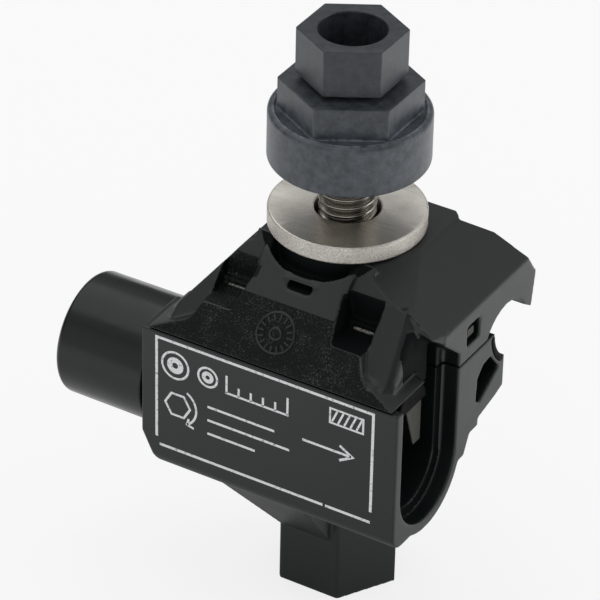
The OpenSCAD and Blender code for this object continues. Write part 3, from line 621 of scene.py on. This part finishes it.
def thread_tree():
    """A threaded rod: a grid wrapped round the axis, its radius following the thread's section."""
    tree, given, keys = new_tree("Rolled thread", (
        ("Start", "NodeSocketFloat"), ("Length", "NodeSocketFloat"), ("Radius", "NodeSocketFloat"),
        ("Pitch", "NodeSocketFloat"), ("Depth", "NodeSocketFloat"), ("Columns", "NodeSocketInt"),
        ("Rows", "NodeSocketInt"), ("Finish", "NodeSocketMaterial")))
    grid = add(tree, "GeometryNodeMeshGrid",
               {"Size Y": given["Length"], "Vertices X": given["Columns"], "Vertices Y": given["Rows"]},
               {"Size X": 1})
    parts = add(tree, "ShaderNodeSeparateXYZ", {0: add(tree, "GeometryNodeInputPosition")}).outputs
    middle = add(tree, "ShaderNodeMath", {0: given["Length"]}, {1: 0.5}, operation="MULTIPLY")
    height = add(tree, "ShaderNodeMath", {0: parts["Y"], 1: middle}, operation="ADD")
    turns = add(tree, "ShaderNodeMath", {0: height, 1: given["Pitch"]}, operation="DIVIDE")
    lag = add(tree, "ShaderNodeMath", {0: turns, 1: parts["X"]}, operation="SUBTRACT")
    phase = add(tree, "ShaderNodeMath", {0: lag}, operation="FRACT")
    off = add(tree, "ShaderNodeMath", {0: phase}, {1: 0.5}, operation="SUBTRACT")
    away = add(tree, "ShaderNodeMath", {0: off}, operation="ABSOLUTE")
    # A flat of an eighth of the pitch on the crest and a quarter in the root, as on a metric thread.
    share = add(tree, "ShaderNodeMapRange", {0: away}, {1: 0.0625, 2: 0.375, 3: 0, 4: 1})
    sunk = add(tree, "ShaderNodeMath", {0: share, 1: given["Depth"]}, operation="MULTIPLY")
    radius = add(tree, "ShaderNodeMath", {0: given["Radius"], 1: sunk}, operation="SUBTRACT")
    # The end is chamfered down to the root.
    root = add(tree, "ShaderNodeMath", {0: given["Radius"], 1: given["Depth"]}, operation="SUBTRACT")
    left = add(tree, "ShaderNodeMath", {0: given["Length"], 1: height}, operation="SUBTRACT")
    bevel = add(tree, "ShaderNodeMath", {0: root, 1: left}, operation="ADD")
    reach = add(tree, "ShaderNodeMath", {0: radius, 1: bevel}, operation="MINIMUM")
    angle = add(tree, "ShaderNodeMath", {0: parts["X"]}, {1: math.tau}, operation="MULTIPLY")
    cosine = add(tree, "ShaderNodeMath", {0: angle}, operation="COSINE")
    sine = add(tree, "ShaderNodeMath", {0: angle}, operation="SINE")
    x = add(tree, "ShaderNodeMath", {0: cosine, 1: reach}, operation="MULTIPLY")
    y = add(tree, "ShaderNodeMath", {0: sine, 1: reach}, operation="MULTIPLY")
    z = add(tree, "ShaderNodeMath", {0: height, 1: given["Start"]}, operation="ADD")
    place = add(tree, "ShaderNodeCombineXYZ", {"X": x, "Y": y, "Z": z})
    wrapped = add(tree, "GeometryNodeSetPosition", {"Geometry": grid.outputs["Mesh"], "Position": place})
    joined = add(tree, "GeometryNodeMergeByDistance", {"Geometry": wrapped}, {"Distance": 0.001 * MM})
    real = add(tree, "GeometryNodeRealizeInstances", {"Geometry": joined})
    dressed = add(tree, "GeometryNodeSetMaterial", {"Geometry": real, "Material": given["Finish"]})
    add(tree, "NodeGroupOutput", {0: dressed})
    return tree, keys


def ring_tree():
    """A ring with ticks on the brow: made flat, then laid on the brow's two slopes."""
    tree, given, keys = new_tree("Tick ring", (
        ("Radius", "NodeSocketFloat"), ("Ticks", "NodeSocketInt"), ("Line", "NodeSocketFloat"),
        ("Across", "NodeSocketFloat"), ("Height", "NodeSocketFloat"), ("Finish", "NodeSocketMaterial")))
    band = add(tree, "GeometryNodeCurvePrimitiveCircle", {"Radius": given["Radius"]}, {"Resolution": 64})
    section = add(tree, "GeometryNodeCurvePrimitiveQuadrilateral",
                  {"Width": given["Line"], "Height": given["Line"]})
    hoop = add(tree, "GeometryNodeCurveToMesh", {"Curve": band.outputs["Curve"], "Profile Curve": section})
    inner = add(tree, "ShaderNodeMath", {0: given["Radius"]}, {1: 0.78}, operation="MULTIPLY")
    points = add(tree, "GeometryNodeMeshCircle", {"Vertices": given["Ticks"], "Radius": inner})
    long = add(tree, "ShaderNodeMath", {0: given["Radius"]}, {1: 0.3}, operation="MULTIPLY")
    size = add(tree, "ShaderNodeCombineXYZ", {"X": long, "Y": given["Line"], "Z": given["Line"]})
    tick = add(tree, "GeometryNodeMeshCube", {"Size": size})
    out = add(tree, "GeometryNodeInputPosition")
    aim = add(tree, "FunctionNodeAlignRotationToVector", {"Vector": out}, axis="X")
    ticks = add(tree, "GeometryNodeInstanceOnPoints",
                {"Points": points.outputs["Mesh"], "Instance": tick.outputs["Mesh"], "Rotation": aim})
    small = add(tree, "ShaderNodeMath", {0: given["Radius"]}, {1: 0.3}, operation="MULTIPLY")
    hub = add(tree, "GeometryNodeCurvePrimitiveCircle", {"Radius": small}, {"Resolution": 32})
    centre = add(tree, "GeometryNodeCurveToMesh", {"Curve": hub.outputs["Curve"], "Profile Curve": section})
    all_parts = add(tree, "GeometryNodeJoinGeometry")
    for piece in (hoop.outputs[0], ticks.outputs[0], centre.outputs[0]):
        tree.links.new(piece, all_parts.inputs[0])
    real = add(tree, "GeometryNodeRealizeInstances", {"Geometry": all_parts})
    parts = add(tree, "ShaderNodeSeparateXYZ", {0: add(tree, "GeometryNodeInputPosition")}).outputs
    x = add(tree, "ShaderNodeMath", {0: parts["X"], 1: given["Across"]}, operation="ADD")
    # The brow rises by about 54 degrees.
    rise = add(tree, "ShaderNodeMath", {0: parts["Y"]}, {1: math.sin(math.radians(54))},
               operation="MULTIPLY")
    z = add(tree, "ShaderNodeMath", {0: rise, 1: given["Height"]}, operation="ADD")
    slopes = []
    for foot, top in ((BROW_FOOT, BROW_KNEE), (BROW_KNEE, BROW_TOP)):
        lean = (top[0] - foot[0]) / (top[1] - foot[1])
        slopes.append(add(tree, "ShaderNodeMath", {0: z},
                          {1: lean, 2: (foot[0] - lean * foot[1]) * MM}, operation="MULTIPLY_ADD"))
    face = add(tree, "ShaderNodeMath", {0: slopes[0], 1: slopes[1]}, operation="MAXIMUM")
    y = add(tree, "ShaderNodeMath", {0: face, 1: parts["Z"]}, operation="SUBTRACT")
    place = add(tree, "ShaderNodeCombineXYZ", {"X": x, "Y": y, "Z": z})
    laid = add(tree, "GeometryNodeSetPosition", {"Geometry": real, "Position": place})
    dressed = add(tree, "GeometryNodeSetMaterial", {"Geometry": laid, "Material": given["Finish"]})
    add(tree, "NodeGroupOutput", {0: dressed})
    return tree, keys


def bend_end(points):
    """The roof's end slope leant down a little: points in mm above the leant plane are drawn in to it."""
    out = np.array((0.66, 0.751))
    past = np.maximum((points[:, [0, 2]] - (20.1, 49.9)) @ out, 0)
    past[points[:, 0] < 12] = 0
    moved = points.copy()
    moved[:, [0, 2]] -= past[:, None] * out
    return moved


def in_painted_shade(at, out):
    """True for the upper jaw's faces that get painted shade: in its slot, its washer groove, its right
    pocket and its mouth, and those facing down under its end.
    """
    x, y, z = at.T
    slope = BROW_KNEE[0] + (z - BROW_KNEE[1]) * BROW_LEAN
    face = np.where(z < BROW_TOP[1], slope, BROW_TOP[0] + (z - BROW_TOP[1]) * TOWER_LEAN)
    behind = (y > face + 0.25) & (y < -10.3)
    slot = within(at, (-1.6, -ANY, 52.7), (2.2, ANY, 54.2)) & behind
    groove = within(at, (-ANY, -ANY, 53.7), (ANY, -7.6, 56.9)) & (np.hypot(x, y) < 11.75)
    pocket = within(at, (6, -ANY, 49.1), (12.3, ANY, 54.3)) & behind
    mouth = within(at, (14, -14.2, 42), (17.9, -5, 51.5)) & (out[:, 0] > 0.72)
    under = within(at, (9, -10.7, -ANY), (19, -4.9, 50.5)) & (out[:, 2] < -0.3)
    return slot | groove | pocket | mouth | under


def on_brow_and_shaded_pocket(at, out):
    """True for faces on one of the brow's two slopes, and in the pocket at its left, which takes the brow's
    darker finish as painted shade.
    """
    picked = within(at, (-12.3, -ANY, 49.1), (-6, -10.3, 54.3)) & (at[:, 1] > at[:, 2] * BROW_LEAN - 64.06)
    for foot, top in ((BROW_FOOT, BROW_KNEE), (BROW_KNEE, BROW_TOP)):
        run = np.array(top) - np.array(foot)
        normal = np.array((-run[1], run[0])) / np.hypot(*run)
        away = np.abs((at[:, 1:] - foot) @ normal)
        level_with = within(at, (-ANY, -ANY, foot[1] - 0.1), (ANY, ANY, top[1] + 0.1))
        picked |= (away < 0.2) & level_with & (out[:, 1:] @ normal > 0.93)
    return picked


class CONNECTOR_OT_lower_jaw(bpy.types.Operator):
    """Round the lower jaw's edges and sink its label panel by the thickness of the print"""
    bl_idname = "connector.lower_jaw"
    bl_label = "Lower jaw"

    def execute(self, context):
        made = skin("lower_jaw", "lower_jaw_skin", sizes().jaw_cell, 5, black_polyamide())
        # Painted shade on the trough's steps seen from its open end.
        mark(made, painted_shade_polyamide(),
             lambda at, out: within(at, (9, -ANY, -ANY), (19.7, -4, 44)) & (out[:, 0] > 0.6))
        thin(made, "lower_jaw", 0.3)
        move(made, lambda points: np.maximum(points, (-ANY, LABEL_Y + 0.03, -ANY)))
        settle(level(made), "base", "black_polyamide", "lower_jaw")
        return {"FINISHED"}


class CONNECTOR_OT_upper_jaw(bpy.types.Operator):
    """Round the upper jaw's edges, paint shade into its recesses and lay the tick ring on its brow"""
    bl_idname = "connector.upper_jaw"
    bl_label = "Upper jaw"

    def execute(self, context):
        # Blocks that the solid leaves out: a bridge over the slot, and the filled ends of the groove under
        # the washer. Each is drawn out along X from an outline in mm: (y, z) for the bridge, and for the
        # fillings of the tower and of the eave (y, z, start in X).
        bridge = ((-12.5, 54.0), (-11.2, 54.0), (-11.75, 54.48), (-11.2, 54.48))
        blocks = [[(x, y, z) for x in (-2.2, 2.8) for y, z in bridge]]
        tower = ((-7.5, 57.0, 6.4), (-7.9, 56.95, 6.4), (-9.98, 56.0, 6.0), (-11.75, 54.4, 5.4),
                 (-11.75, 53.4, 5.0), (-7.5, 53.4, 5.0))
        eave = ((-7.5, 57.0, 6.9), (-7.8, 57.0, 6.9), (-10.4, 54.4, 6.9), (-10.4, 53.4, 6.9),
                (-7.5, 53.4, 6.9))
        tower_end = 7.0
        eave_end = 9.2
        for side in (-1, 1):
            for outline, end in ((tower, tower_end), (eave, eave_end)):
                blocks.append([(side * x, y, z) for y, z, start in outline for x in (start, end)])
        made = skin("upper_jaw", "upper_jaw_skin", sizes().jaw_cell, 5, black_polyamide(), blocks)
        move(made, bend_end)
        soften(made, 12, lambda points: within(points, (18, -6, 47), (ANY, ANY, ANY)))
        soften(made, 80, lambda points: within(points, (14.2, -ANY, 46), (ANY, -8, 52)))
        # Painted shade in the slot, the washer groove, the right pocket, the mouth and under the end.
        mark(made, painted_shade_polyamide(), in_painted_shade)
        # The brow's grain, and painted shade in the left pocket.
        mark(made, eroded_polyamide(), on_brow_and_shaded_pocket)
        thin(made, "upper_jaw", 0.4)
        settle(level(made), "upper", "black_polyamide", "upper_jaw")
        tree, keys = ring_tree()
        ring = grown("tick_ring", tree, keys, {
            "Radius": sizes().ring_size / 2, "Ticks": 16, "Line": 0.26 * MM, "Across": -0.4 * MM,
            "Height": 48.6 * MM, "Finish": black_polyamide()}, black_polyamide())
        settle(ring, "upper", "black_polyamide")
        # A pale bead along the rib in each pocket.
        for name, start, end, thick in (("left_bead", -11.4, -8.2, 0.16), ("right_bead", 8.3, 12.0, 0.24)):
            lie = Matrix.Translation((0, -11.85, 49.5)) @ Matrix.Rotation(math.radians(90), 4, "Y")
            bead = turned(name, rounded([
                ("round", 0, start, 0), ("round", thick, start, thick * 0.9),
                ("round", thick, end, thick * 0.9), ("round", 0, end, 0)]), 0, lie, pale_bead_polyamide())
            settle(bead, "upper", "black_polyamide")
        return {"FINISHED"}


class CONNECTOR_OT_contacts(bpy.types.Operator):
    """Round the stamped edges of the contact blades"""
    bl_idname = "connector.contacts"
    bl_label = "Contacts"

    def execute(self, context):
        for node, body in (("lower_contact_entry", "base"), ("lower_contact_inner", "base"),
                           ("upper_contact_entry", "upper"), ("upper_contact_inner", "upper")):
            made = skin(node, node + "_blade", sizes().blade_cell, 3, tin_plate())
            settle(level(thin(made, node, 0.4)), body, "tinned_contact", node)
        return {"FINISHED"}


class CONNECTOR_OT_seals(bpy.types.Operator):
    """Round the seals"""
    bl_idname = "connector.seals"
    bl_label = "Seals"

    def execute(self, context):
        for node, body in (("lower_main_seal", "base"), ("lower_tap_seal", "base"),
                           ("upper_main_seal", "upper"), ("upper_tap_seal", "upper")):
            made = skin(node, node + "_rubber", sizes().seal_cell, 4, seal_elastomer())
            settle(level(thin(made, node, 0.5)), body, "black_seal", node)
        return {"FINISHED"}


class CONNECTOR_OT_bolt(bpy.types.Operator):
    """Build the bolt with its rolled thread, and finish the insert"""
    bl_idname = "connector.bolt"
    bl_label = "Bolt"

    def execute(self, context):
        steel = rolled_steel()
        rod = turned("bolt_rod", rounded([
            ("round", 0, 0, 0), ("hex", 6.5, 0, 0.4), ("hex", 6.5, 5.3, 0.4), ("round", 4, 5.3, 0.2),
            ("round", 4, SHANK_TOP, 0.2), ("round", 0, SHANK_TOP, 0)]), 0.3, Matrix.Identity(4), steel)
        tree, keys = thread_tree()
        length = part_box("bolt")[1].z - SHANK_TOP * MM
        thread = grown("bolt_thread", tree, keys, {
            "Start": SHANK_TOP * MM, "Length": length, "Radius": 4 * MM, "Pitch": sizes().thread_pitch,
            "Depth": sizes().thread_depth, "Columns": 73, "Rows": int(length / (0.1 * MM)),
            "Finish": steel}, steel)
        shape = bmesh.new()
        shape.from_mesh(thread.data)
        bmesh.ops.holes_fill(shape, edges=[e for e in shape.edges if e.is_boundary], sides=0)
        bmesh.ops.recalc_face_normals(shape, faces=shape.faces)
        shape.from_mesh(rod.data)
        shape.to_mesh(rod.data)
        shape.free()
        bpy.data.objects.remove(thread)
        rod.name = "bolt_threaded"
        settle(level(rod), "base", "bolt_steel", "bolt")
        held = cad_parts["nut_insert"].data.materials
        held.clear()
        held.append(steel)
        return {"FINISHED"}


class CONNECTOR_OT_washer(bpy.types.Operator):
    """Build the thick washer with its punched edges"""
    bl_idname = "connector.washer"
    bl_label = "Washer"

    def execute(self, context):
        low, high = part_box("washer")
        outer = high.x / MM
        foot = low.z / MM
        top = high.z / MM
        edge = sizes().washer_edge / MM
        made = turned("washer_sheet", rounded([
            ("round", 4.5, foot, edge), ("round", outer, foot, edge), ("round", outer, top, edge),
            ("round", 4.5, top, edge)]), 0, Matrix.Identity(4), stainless_sheet())
        settle(made, "upper", "stainless", "washer")
        return {"FINISHED"}


class CONNECTOR_OT_shear_head(bpy.types.Operator):
    """Build the shear head: collar, release hexagon, shear neck and drive hexagon with its bore"""
    bl_idname = "connector.shear_head"
    bl_label = "Shear head"

    def execute(self, context):
        low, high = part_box("shear_head")
        foot = low.z / MM
        top = high.z / MM
        collar = foot + COLLAR_HEIGHT
        neck = collar + RELEASE_HEIGHT
        drive = neck + NECK_HEIGHT
        edge = sizes().head_edge / MM
        made = turned("shear_head_moulding", rounded([
            ("round", HEAD_BORE, foot, 0.15), ("round", 11.1, foot, 0.5),
            ("round", 11.1, collar - 0.1, 0.7), ("round", 10.2, collar, 0.12),
            ("round", 9.95, collar - 0.3, 0.1),
            ("hex", 8.5, collar - 0.3, 0.15), ("hex", 8.5, neck, edge),
            ("round", 5.1, neck, 0.1), ("round", 5.1, drive, 0.1),
            ("hex", 6.5, drive, edge), ("hex", 6.5, top, edge),
            ("round", HEAD_BORE, top, 0.3), ("round", HEAD_BORE, foot + 7.05, 0.05),
            ("round", INSERT_ROOM, foot + 7.05, 0.05), ("round", INSERT_ROOM, foot + 0.55, 0.05),
            ("round", HEAD_BORE, foot + 0.55, 0.05)]), 0.3,
            Matrix.Rotation(math.radians(HEAD_TURN), 4, "Z"), grey_polyamide())
        settle(made, "head", "grey_moulding", "shear_head")
        return {"FINISHED"}


class CONNECTOR_OT_end_cap(bpy.types.Operator):
    """Build the end cap with its round end, shoulder and spigot"""
    bl_idname = "connector.end_cap"
    bl_label = "End cap"

    def execute(self, context):
        low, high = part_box("end_cap")
        middle = (low + high) / 2 / MM
        end = -low.x / MM
        tip = -high.x / MM
        radius = (high.z - low.z) / 2 / MM
        edge = sizes().cap_edge / MM
        axis = Matrix.Translation((0, middle.y, middle.z)) @ Matrix.Rotation(math.radians(-90), 4, "Y")
        made = turned("end_cap_moulding", rounded([
            ("round", 5.6, tip, 0.3), ("round", 7.1, tip, 0.3), ("round", 7.1, CAP_SHOULDER, 0.15),
            ("round", radius, CAP_SHOULDER, edge), ("round", radius - 0.05, end, sizes().cap_end / MM),
            ("round", 2.4, end, 0.12), ("round", 2.2, end - 0.25, 0.1), ("round", 0, end - 0.25, 0),
            ("round", 0, end - 1.8, 0), ("round", 5.6, end - 1.8, 0.6)], 8), 0, axis, glossy_elastomer())
        settle(made, "cap", "glossy_cap", "end_cap")
        return {"FINISHED"}


class CONNECTOR_OT_print(bpy.types.Operator):
    """Print the frame and the plain pictograms on the label wall"""
    bl_idname = "connector.print"
    bl_label = "Print"

    def execute(self, context):
        shape = bmesh.new()
        line = sizes().print_line / MM

        def stroke(points, width, closed=False):
            """A line of that width through (x, z) points."""
            path = [Vector(p) for p in points]
            count = len(path)
            sides = []
            for at, here in enumerate(path):
                before = path[at - 1] if closed or at else here * 2 - path[at + 1]
                after = path[(at + 1) % count] if closed or at + 1 < count else here * 2 - before
                one = (here - before).normalized()
                two = (after - here).normalized()
                lean = (one + two).normalized()
                across = Vector((-lean.y, lean.x)) * (width / 2 / max(0.3, lean.dot(one)))
                sides.append([shape.verts.new(((here + across * s).x * MM, (LABEL_Y + 0.01) * MM,
                                               (here + across * s).y * MM)) for s in (1, -1)])
            for at in range(count if closed else count - 1):
                left, right = sides[at], sides[(at + 1) % count]
                shape.faces.new((left[0], left[1], right[1], right[0]))

        def arc(x, z, radius, start=0, stop=360, steps=40):
            """Points on an arc, in degrees."""
            turns = [math.radians(start + (stop - start) * i / steps) for i in range(steps + 1)]
            return [(x + radius * math.cos(turn), z + radius * math.sin(turn)) for turn in turns]

        # The frame, open at its lower corners.
        stroke([(-17.6, 26.9), (-17.6, 43.3), (16.4, 43.3), (16.4, 27.4)], line)
        stroke([(-17.1, 25.7), (9.0, 25.7)], line)
        stroke([(9.4, 25.7), (16.4, 25.7)], line)
        # Two cable sections, large and small, with a gauge beside them.
        for x, radius in ((-14.6, 2.1), (-9.4, 1.5)):
            stroke(arc(x, 39.6, radius)[:-1], line * 0.8, True)
            stroke(arc(x, 39.6, radius * 0.42)[:-1], radius * 0.4, True)
        stroke([(-6.6, 38.2), (3.4, 38.2)], line * 0.8)
        for at in range(6):
            tick = -6.4 + at * 1.92
            stroke([(tick, 38.2), (tick, 41.0 if at % 5 == 0 else 39.6)], line * 0.8)
        # A hexagon with the direction in which it is turned.
        stroke(arc(-14.2, 33.2, 2.0, steps=6)[:-1], line * 0.8, True)
        stroke(arc(-14.2, 33.2, 3.0, 60, -60, 16), line * 0.8)
        stroke([(-12.4, 31.6), (-12.7, 30.6), (-11.6, 30.3)], line * 0.8)
        # Blank lines to write on.
        for z, end in ((34.8, 1.2), (32.6, 3.6), (30.4, -1.8)):
            stroke([(-9.4, z), (end, z)], line * 0.9)
        # An arrow to the open end.
        stroke([(5.6, 35.2), (13.2, 35.2)], line * 0.9)
        stroke([(11.4, 36.4), (13.4, 35.2), (11.4, 34.0)], line * 0.9)
        # A hatched block.
        stroke([(9.8, 41.9), (9.8, 39.6), (14.9, 39.6), (14.9, 41.9)], line * 0.7, True)
        for at in range(5):
            stroke([(10.1 + at * 0.95, 39.8), (10.9 + at * 0.95, 41.7)], line * 0.7)
        ends = bmesh.ops.extrude_face_region(shape, geom=shape.faces[:])["geom"]
        for corner in ends:
            if isinstance(corner, bmesh.types.BMVert):
                corner.co.y += 0.04 * MM
        bmesh.ops.recalc_face_normals(shape, faces=shape.faces)
        settle(built("label_print", shape, pad_print()), "base", "black_polyamide")
        return {"FINISHED"}


def rays(tree):
    """Two signals: one for what the camera sees itself, and one for what it sees in the pieces' shine."""
    path = add(tree, "ShaderNodeLightPath").outputs
    mirrored = add(tree, "ShaderNodeMath", {0: path["Is Glossy Ray"], 1: path["Is Transmission Ray"]},
                   operation="MAXIMUM")
    return path["Is Camera Ray"], mirrored


def white_paper():
    """The paper of the floor."""
    made = bpy.data.materials.new("White paper")
    tree = emptied(made)
    camera, mirrored = rays(tree)
    # White to the camera. In the pieces' shine it has a painted shadow near them, and painted pools of
    # light at the back right and on the front left.
    seen = add(tree, "ShaderNodeMath", {0: camera}, {1: 0.8}, operation="MULTIPLY")
    share = add(tree, "ShaderNodeMath", {0: mirrored, 2: seen}, {1: 0.5}, operation="MULTIPLY_ADD")
    spot = add(tree, "ShaderNodeTexCoord").outputs["Object"]
    # Painted pool of light at the back right.
    along = add(tree, "ShaderNodeVectorMath", {0: spot}, {1: (0.86, 0.5, 0)}, operation="DOT_PRODUCT")
    sheet = add(tree, "ShaderNodeMapRange", {0: along.outputs["Value"]}, {1: 0, 2: 0.05, 3: 0, 4: 0.7})
    # Painted shadow near the pieces, brightening towards the open floor.
    away = add(tree, "ShaderNodeVectorMath", {0: spot}, operation="LENGTH")
    painted_shadow_near = add(tree, "ShaderNodeMapRange", {0: away.outputs["Value"]},
                     {1: 0.05, 2: 0.13, 3: 0.45, 4: 1.15})
    # Painted pool of light on the front left.
    leftward = add(tree, "ShaderNodeVectorMath", {0: spot}, {1: (-0.86, -0.5, 0)}, operation="DOT_PRODUCT")
    left = add(tree, "ShaderNodeMapRange", {0: leftward.outputs["Value"]},
               {1: 0.01, 2: 0.05, 3: 0, 4: 0.42})
    painted_light_pools = add(tree, "ShaderNodeMath", {0: sheet, 1: left}, operation="ADD")
    shone = add(tree, "ShaderNodeMath", {0: painted_light_pools, 1: painted_shadow_near}, operation="ADD")
    strength = add(tree, "ShaderNodeMix", {0: camera, 2: shone}, {3: 1.0})
    matt = add(tree, "ShaderNodeBsdfDiffuse", None, {"Color": (0.9, 0.9, 0.9, 1)})
    glow = add(tree, "ShaderNodeEmission", {"Strength": strength}, {"Color": (1, 1, 1, 1)})
    mix = add(tree, "ShaderNodeMixShader", {"Fac": share, 1: matt, 2: glow})
    add(tree, "ShaderNodeOutputMaterial", {"Surface": mix})
    return made


def studio():
    """The world: white to the camera, an even light, and a tent that only shows in the pieces' shine."""
    made = bpy.data.worlds.new("Studio")
    tree = emptied(made)
    camera, mirrored = rays(tree)
    # What shines in the pieces: a tent, bright overhead and low in front, with a dark gap on the right.
    direction = add(tree, "ShaderNodeTexCoord").outputs["Generated"]
    way = add(tree, "ShaderNodeSeparateXYZ", {0: direction}).outputs
    tent = add(tree, "ShaderNodeMapRange", {0: way["Z"]}, {1: 0.2, 2: 0.75, 3: 0.26, 4: 0.75},
               interpolation_type="SMOOTHSTEP")
    ahead = add(tree, "ShaderNodeMapRange", {0: way["Y"]}, {1: -0.45, 2: -0.7, 3: 0, 4: 0.85})
    low = add(tree, "ShaderNodeMapRange", {0: way["Z"]}, {1: 0.58, 2: 0.52, 3: 0, 4: 1})
    front = add(tree, "ShaderNodeMath", {0: ahead, 1: low}, operation="MULTIPLY")
    brightest = add(tree, "ShaderNodeMath", {0: front, 1: tent}, operation="MAXIMUM")
    sided = add(tree, "ShaderNodeMath", {0: way["X"], 2: brightest}, {1: 0.15}, operation="MULTIPLY_ADD")
    least = add(tree, "ShaderNodeMath", {0: sided}, {1: 0.12}, operation="MAXIMUM")
    facing = add(tree, "ShaderNodeVectorMath", {0: direction}, {1: (0.87, 0.0, 0.49)},
                 operation="DOT_PRODUCT")
    gap = add(tree, "ShaderNodeMapRange", {0: facing.outputs["Value"]}, {1: 0.72, 2: 0.95, 3: 1, 4: 0.12},
              interpolation_type="SMOOTHSTEP")
    tented = add(tree, "ShaderNodeMath", {0: least, 1: gap}, operation="MULTIPLY")
    shine = add(tree, "ShaderNodeBackground", {"Strength": tented}, {"Color": (1, 1, 1, 1)})
    room = add(tree, "ShaderNodeBackground", None, {"Color": (1, 1, 1, 1), "Strength": 0.6})
    white = add(tree, "ShaderNodeBackground", None, {"Color": (1, 1, 1, 1), "Strength": 1.0})
    lit = add(tree, "ShaderNodeMixShader", {"Fac": mirrored, 1: room, 2: shine})
    mix = add(tree, "ShaderNodeMixShader", {"Fac": camera, 1: lit, 2: white})
    add(tree, "ShaderNodeOutputWorld", {"Surface": mix})
    return made


class CONNECTOR_OT_stage(bpy.types.Operator):
    """Set up the floor, the lamps and the camera"""
    bl_idname = "connector.stage"
    bl_label = "Stage"

    def execute(self, context):
        scene = context.scene
        scene.view_settings.view_transform = "Standard"
        reach = 3
        corners = [(-reach, -reach, 0), (reach, -reach, 0), (reach, reach, 0), (-reach, reach, 0)]
        floor_mesh = bpy.data.meshes.new("floor")
        floor_mesh.from_pydata(corners, [], [(0, 1, 2, 3)])
        floor = show("floor", floor_mesh, white_paper())
        scene.world = studio()
        for name, place, size, power in (
                ("Overhead", (-0.34, 0.06, 0.72), 0.9, 1.4),
                ("Right", (0.7, 0.35, 0.3), 0.5, 1.5)):
            lamp = bpy.data.lights.new(name, "AREA")
            lamp.shape = "DISK"
            lamp.size = size
            lamp.energy = power
            holder = bpy.data.objects.new(name, lamp)
            context.collection.objects.link(holder)
            holder.location = place
            aim = Vector((0, 0, 0.045)) - Vector(place)
            holder.rotation_euler = aim.to_track_quat("-Z", "Y").to_euler()

        turn, rise, roll = (math.radians(v) for v in (CAMERA_TURN, CAMERA_RISE, CAMERA_ROLL))
        back = Vector((math.sin(turn) * math.cos(rise), -math.cos(turn) * math.cos(rise), math.sin(rise)))
        right = Vector((math.cos(turn), math.sin(turn), 0))
        up = back.cross(right)
        side = math.cos(roll) * right + math.sin(roll) * up
        top = -math.sin(roll) * right + math.cos(roll) * up
        eye = (Vector((0, 0, CAMERA_AIM)) + CAMERA_AWAY * back
               + CAMERA_SHIFT[0] * side + CAMERA_SHIFT[1] * top) * MM
        lens = bpy.data.cameras.new("Camera")
        lens.lens = 240
        lens.sensor_width = 36
        lens.clip_start = 0.05
        lens.clip_end = 20
        camera = bpy.data.objects.new("Camera", lens)
        context.collection.objects.link(camera)
        turned_to = Matrix((side, top, back)).transposed().to_4x4()
        camera.matrix_world = Matrix.Translation(eye) @ turned_to
        scene.camera = camera
        return {"FINISHED"}


OPERATORS = (
    CONNECTOR_OT_lower_jaw, CONNECTOR_OT_upper_jaw, CONNECTOR_OT_contacts, CONNECTOR_OT_seals,
    CONNECTOR_OT_bolt, CONNECTOR_OT_washer, CONNECTOR_OT_shear_head, CONNECTOR_OT_end_cap,
    CONNECTOR_OT_print, CONNECTOR_OT_stage,
)


class CONNECTOR_PT_panel(bpy.types.Panel):
    """The connector's sizes, colours and operators"""
    bl_idname = "CONNECTOR_PT_panel"
    bl_label = "Connector"
    bl_space_type = "VIEW_3D"
    bl_region_type = "UI"
    bl_category = "Connector"

    def draw(self, context):
        for group in (context.scene.connector_sizes, context.scene.connector_colours):
            for name in group.__annotations__:
                self.layout.prop(group, name)
        for operator in OPERATORS:
            self.layout.operator(operator.bl_idname)


CLASSES = (ConnectorSizes, ConnectorColours, *OPERATORS, CONNECTOR_PT_panel)


def register():
    for item in CLASSES:
        bpy.utils.register_class(item)
    bpy.types.Scene.connector_sizes = bpy.props.PointerProperty(type=ConnectorSizes)
    bpy.types.Scene.connector_colours = bpy.props.PointerProperty(type=ConnectorColours)


def unregister():
    del bpy.types.Scene.connector_sizes
    del bpy.types.Scene.connector_colours
    for item in reversed(CLASSES):
        bpy.utils.unregister_class(item)


def main():
    register()
    bpy.ops.connector.lower_jaw()
    bpy.ops.connector.upper_jaw()
    bpy.ops.connector.contacts()
    bpy.ops.connector.seals()
    bpy.ops.connector.bolt()
    bpy.ops.connector.washer()
    bpy.ops.connector.shear_head()
    bpy.ops.connector.end_cap()
    bpy.ops.connector.print()
    bpy.ops.connector.stage()


if __name__ == "__main__":
    main()
